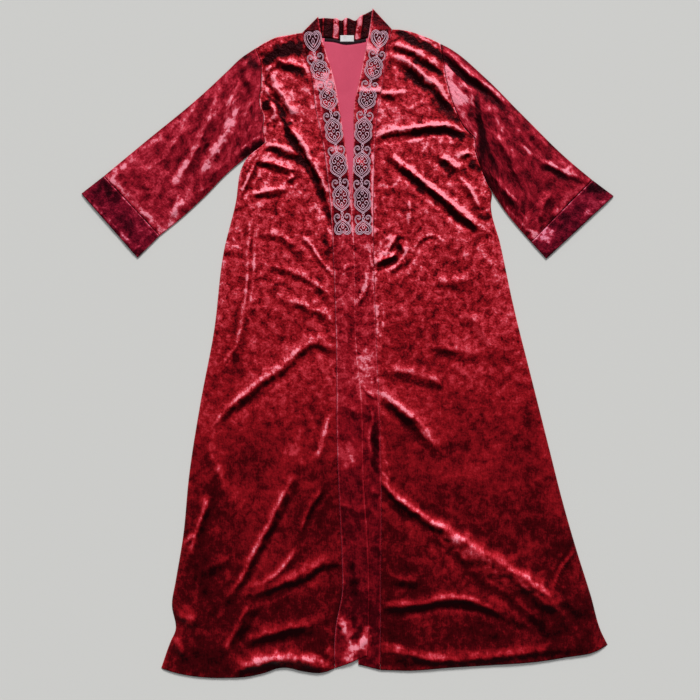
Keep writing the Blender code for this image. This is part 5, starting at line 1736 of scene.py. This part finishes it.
BODY_PILE = Pile(
    (0.008, 0.0002, 0.0006, 1), (0.060, 0.0012, 0.0026, 1), (0.31, 0.0065, 0.0115, 1),
    (0.60, 0.038, 0.058, 1), (0.95, 0.27, 0.34, 1), None, 0.0022,
)
SLEEVE_PILE = Pile(
    (0.010, 0.0003, 0.0011, 1), (0.062, 0.0013, 0.0042, 1), (0.29, 0.0070, 0.0180, 1),
    (0.56, 0.036, 0.064, 1), (0.90, 0.27, 0.35, 1), 0.50, 0.0022,
)
CUFF_PILE = Pile(
    (0.010, 0.0003, 0.0018, 1), (0.052, 0.0012, 0.0060, 1), (0.22, 0.0055, 0.0200, 1),
    (0.46, 0.032, 0.066, 1), (0.86, 0.25, 0.36, 1), 0.35, 0.0022,
)
BAND_PILE = Pile(
    (0.008, 0.0002, 0.0008, 1), (0.055, 0.0011, 0.0032, 1), (0.29, 0.006, 0.0125, 1),
    (0.56, 0.034, 0.054, 1), (0.90, 0.27, 0.34, 1), None, 0.0018,
)
body_velvet = make_velvet("velvet body", BODY_PILE)
sleeve_velvet = make_velvet("velvet sleeve", SLEEVE_PILE)
cuff_velvet = make_velvet("velvet cuff", CUFF_PILE)
band_velvet = make_velvet("velvet band", BAND_PILE)

# %% Plain cloth and thread
WEAVE_SHARE, CLOUD_SHARE, CLOUD = 0.6, 0.4, (14.0, 3.0, 0.3)
PLAIN_AT, THREAD_AT = (0.3, 0.7), (0.50, 0.78)
# How much of the band's painted highlights and painted shade the thread takes
THREAD_LIGHT = 0.6


def make_plain(name, colour, second, roughness, scale, bump):
    """A matt woven cloth: two colours mixed by a weave, with its bump."""
    material, tree, shader = new_material(name)
    grain = node(tree, "ShaderNodeUVMap", -1000, 0, uv_map="grain")
    rows = stretch(tree, grain.outputs["UV"], scale, -800, 0)
    weave = noise(tree, rows, 1.0, 2.0, 0.2, -600, 0)
    cloudy = noise(tree, grain.outputs["UV"], *CLOUD, -600, -250)
    weave_part = maths(tree, "MULTIPLY", weave, WEAVE_SHARE, -400, 0)
    cloud_part = maths(tree, "MULTIPLY", cloudy, CLOUD_SHARE, -400, -200)
    blend = maths(tree, "ADD", weave_part, cloud_part, -200, -100)
    low, high = zip(PLAIN_AT, (colour, second))
    tree.links.new(two_colours(tree, blend, low, high, -50, 100), shader.inputs["Base Color"])
    shader.inputs["Roughness"].default_value = roughness
    shader.inputs["Specular IOR Level"].default_value = 0.2
    add_bump(tree, shader, weave, bump, -50, -300)
    return material


knit = make_plain(
    "velvet wrong side", (0.57, 0.064, 0.122, 1), (0.75, 0.098, 0.172, 1), 0.9,
    (700.0, 1500.0, 1.0), 0.0003,
)
tape_cloth = make_plain(
    "neck tape", (0.006, 0.001, 0.003, 1), (0.022, 0.003, 0.008, 1), 0.8,
    (900.0, 300.0, 1.0), 0.0003,
)
label_cloth = make_plain(
    "label", (0.62, 0.60, 0.60, 1), (0.86, 0.84, 0.84, 1), 0.6, (1200.0, 500.0, 1.0), 0.0001,
)


def make_thread():
    """Satin thread: pale, shiny, with fine stitches that lie across each cord, and
    brighter or darker with the painted highlights and shade of the band below.
    """
    material, tree, shader = new_material("satin thread")
    grain = node(tree, "ShaderNodeUVMap", -1000, 0, uv_map="grain")
    rows = stretch(tree, grain.outputs["UV"], (150.0, 420.0, 1.0), -800, 0)
    stitch = noise(tree, rows, 1.0, 2.0, 0.0, -600, 0)
    tone_and_painted_light = node(tree, "ShaderNodeAttribute", -800, 300, attribute_name="tone_and_painted_light")
    lit = maths(tree, "MULTIPLY", tone_and_painted_light.outputs["Fac"], THREAD_LIGHT, -600, 300)
    lit = maths(tree, "ADD", stitch, lit, -450, 100)
    low, high = zip(THREAD_AT, ((0.24, 0.075, 0.13, 1), (0.92, 0.56, 0.69, 1)))
    tree.links.new(two_colours(tree, lit, low, high, -300, 100), shader.inputs["Base Color"])
    shader.inputs["Roughness"].default_value = 0.38
    shader.inputs["Metallic"].default_value = 0.10
    add_bump(tree, shader, stitch, 0.0004, -300, -300)
    return material


thread = make_thread()

# %% Finish the pieces
def finish_piece(piece, material, stands_for):
    """Gives a piece its material and its body, and hides the solid of the node it stands for."""
    piece.data.materials.append(material)
    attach(piece, "root")
    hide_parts(stands_for)


DRESS = (
    (front_right, body_velvet, "velvet_pile", "front_right"),
    (front_left, body_velvet, "velvet_pile", "front_left"),
    (back, knit, "velvet_wrong_side", "back"),
    (band_right, band_velvet, "velvet_pile", "band_right"),
    (band_left, band_velvet, "velvet_pile", "band_left"),
    (collar, body_velvet, "velvet_pile", "collar"),
    (sleeve_right, sleeve_velvet, "velvet_pile", "sleeve_right"),
    (sleeve_left, sleeve_velvet, "velvet_pile", "sleeve_left"),
    (cuff_right, cuff_velvet, "velvet_pile", "cuff_right"),
    (cuff_left, cuff_velvet, "velvet_pile", "cuff_left"),
    (tape, tape_cloth, "neck_tape", "neck_tape"),
    (label, label_cloth, "label_cloth", "label"),
)
for piece, material, slot, stands_for in DRESS:
    finish_piece(piece, material, stands_for)
for piece in (stitches_right, stitches_left):
    piece.data.materials.append(thread)
    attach(piece, "root")

# %% [markdown]
# ## Cloth sizes
#
# A maker needs the flat size and the area of each piece of cloth that shows.  This prints the
# area of each and its count of faces.

# %% Cloth sizes
def cloth_area(piece):
    """Half the area of a closed wall's skin, in square metres."""
    faces = piece.data.polygons
    area = np.empty(len(faces))
    faces.foreach_get("area", area)
    return area.sum() / 2


for piece, *_ in DRESS:
    print(piece.name, round(cloth_area(piece), 5), len(piece.data.polygons))

# %% [markdown]
# ## Floor, light and camera
#
# The robe is seen from straight above.  The light comes low from beyond the
# collar, so slopes that face it shine and slopes that face the hem go dark.

# %% Stage
FLOOR_HALF, FLOOR_DOWN = 6.0, 0.0004


def make_floor():
    """A pale floor, far larger than the robe and a hair below it."""
    mesh = bpy.data.meshes.new("floor")
    s = FLOOR_HALF
    mesh.from_pydata([(-s, -s, 0), (s, -s, 0), (s, s, 0), (-s, s, 0)], [], [(0, 1, 2, 3)])
    floor = bpy.data.objects.new("floor", mesh)
    bpy.context.scene.collection.objects.link(floor)
    material, _, shader = new_material("pale floor")
    shader.inputs["Base Color"].default_value = (0.66, 0.655, 0.63, 1)
    shader.inputs["Roughness"].default_value = 0.85
    mesh.materials.append(material)
    floor.location.z = -FLOOR_DOWN


def add_sun(name, turn, strength, softness):
    """Even daylight from beyond the collar; turn is its swing and its tilt."""
    data = bpy.data.lights.new(name, "SUN")
    data.energy = strength
    data.angle = softness
    lamp = bpy.data.objects.new(name, data)
    bpy.context.scene.collection.objects.link(lamp)
    swing, tilt = np.radians(turn)
    lamp.rotation_euler = (tilt, 0.0, swing)


CAMERA_HEIGHT, CAMERA_PLACE = 1.54, (0.005, -0.014)
VIEW_WIDTH = 1.435
SENSOR = 36.0

make_floor()
add_sun("daylight", (-8.0, -55.0), 3.1, 0.30)
world = bpy.data.worlds.new("room light")
world.use_nodes = True
world.node_tree.nodes["Background"].inputs["Color"].default_value = (0.95, 0.97, 1.0, 1)
world.node_tree.nodes["Background"].inputs["Strength"].default_value = 0.36
bpy.context.scene.world = world
bpy.context.scene.view_settings.view_transform = "Standard"

camera_data = bpy.data.cameras.new("camera")
camera_data.sensor_width = SENSOR
camera_data.lens = SENSOR * CAMERA_HEIGHT / VIEW_WIDTH
camera = bpy.data.objects.new("camera", camera_data)
camera.location = (*CAMERA_PLACE, CAMERA_HEIGHT)
bpy.context.scene.collection.objects.link(camera)
bpy.context.scene.camera = camera
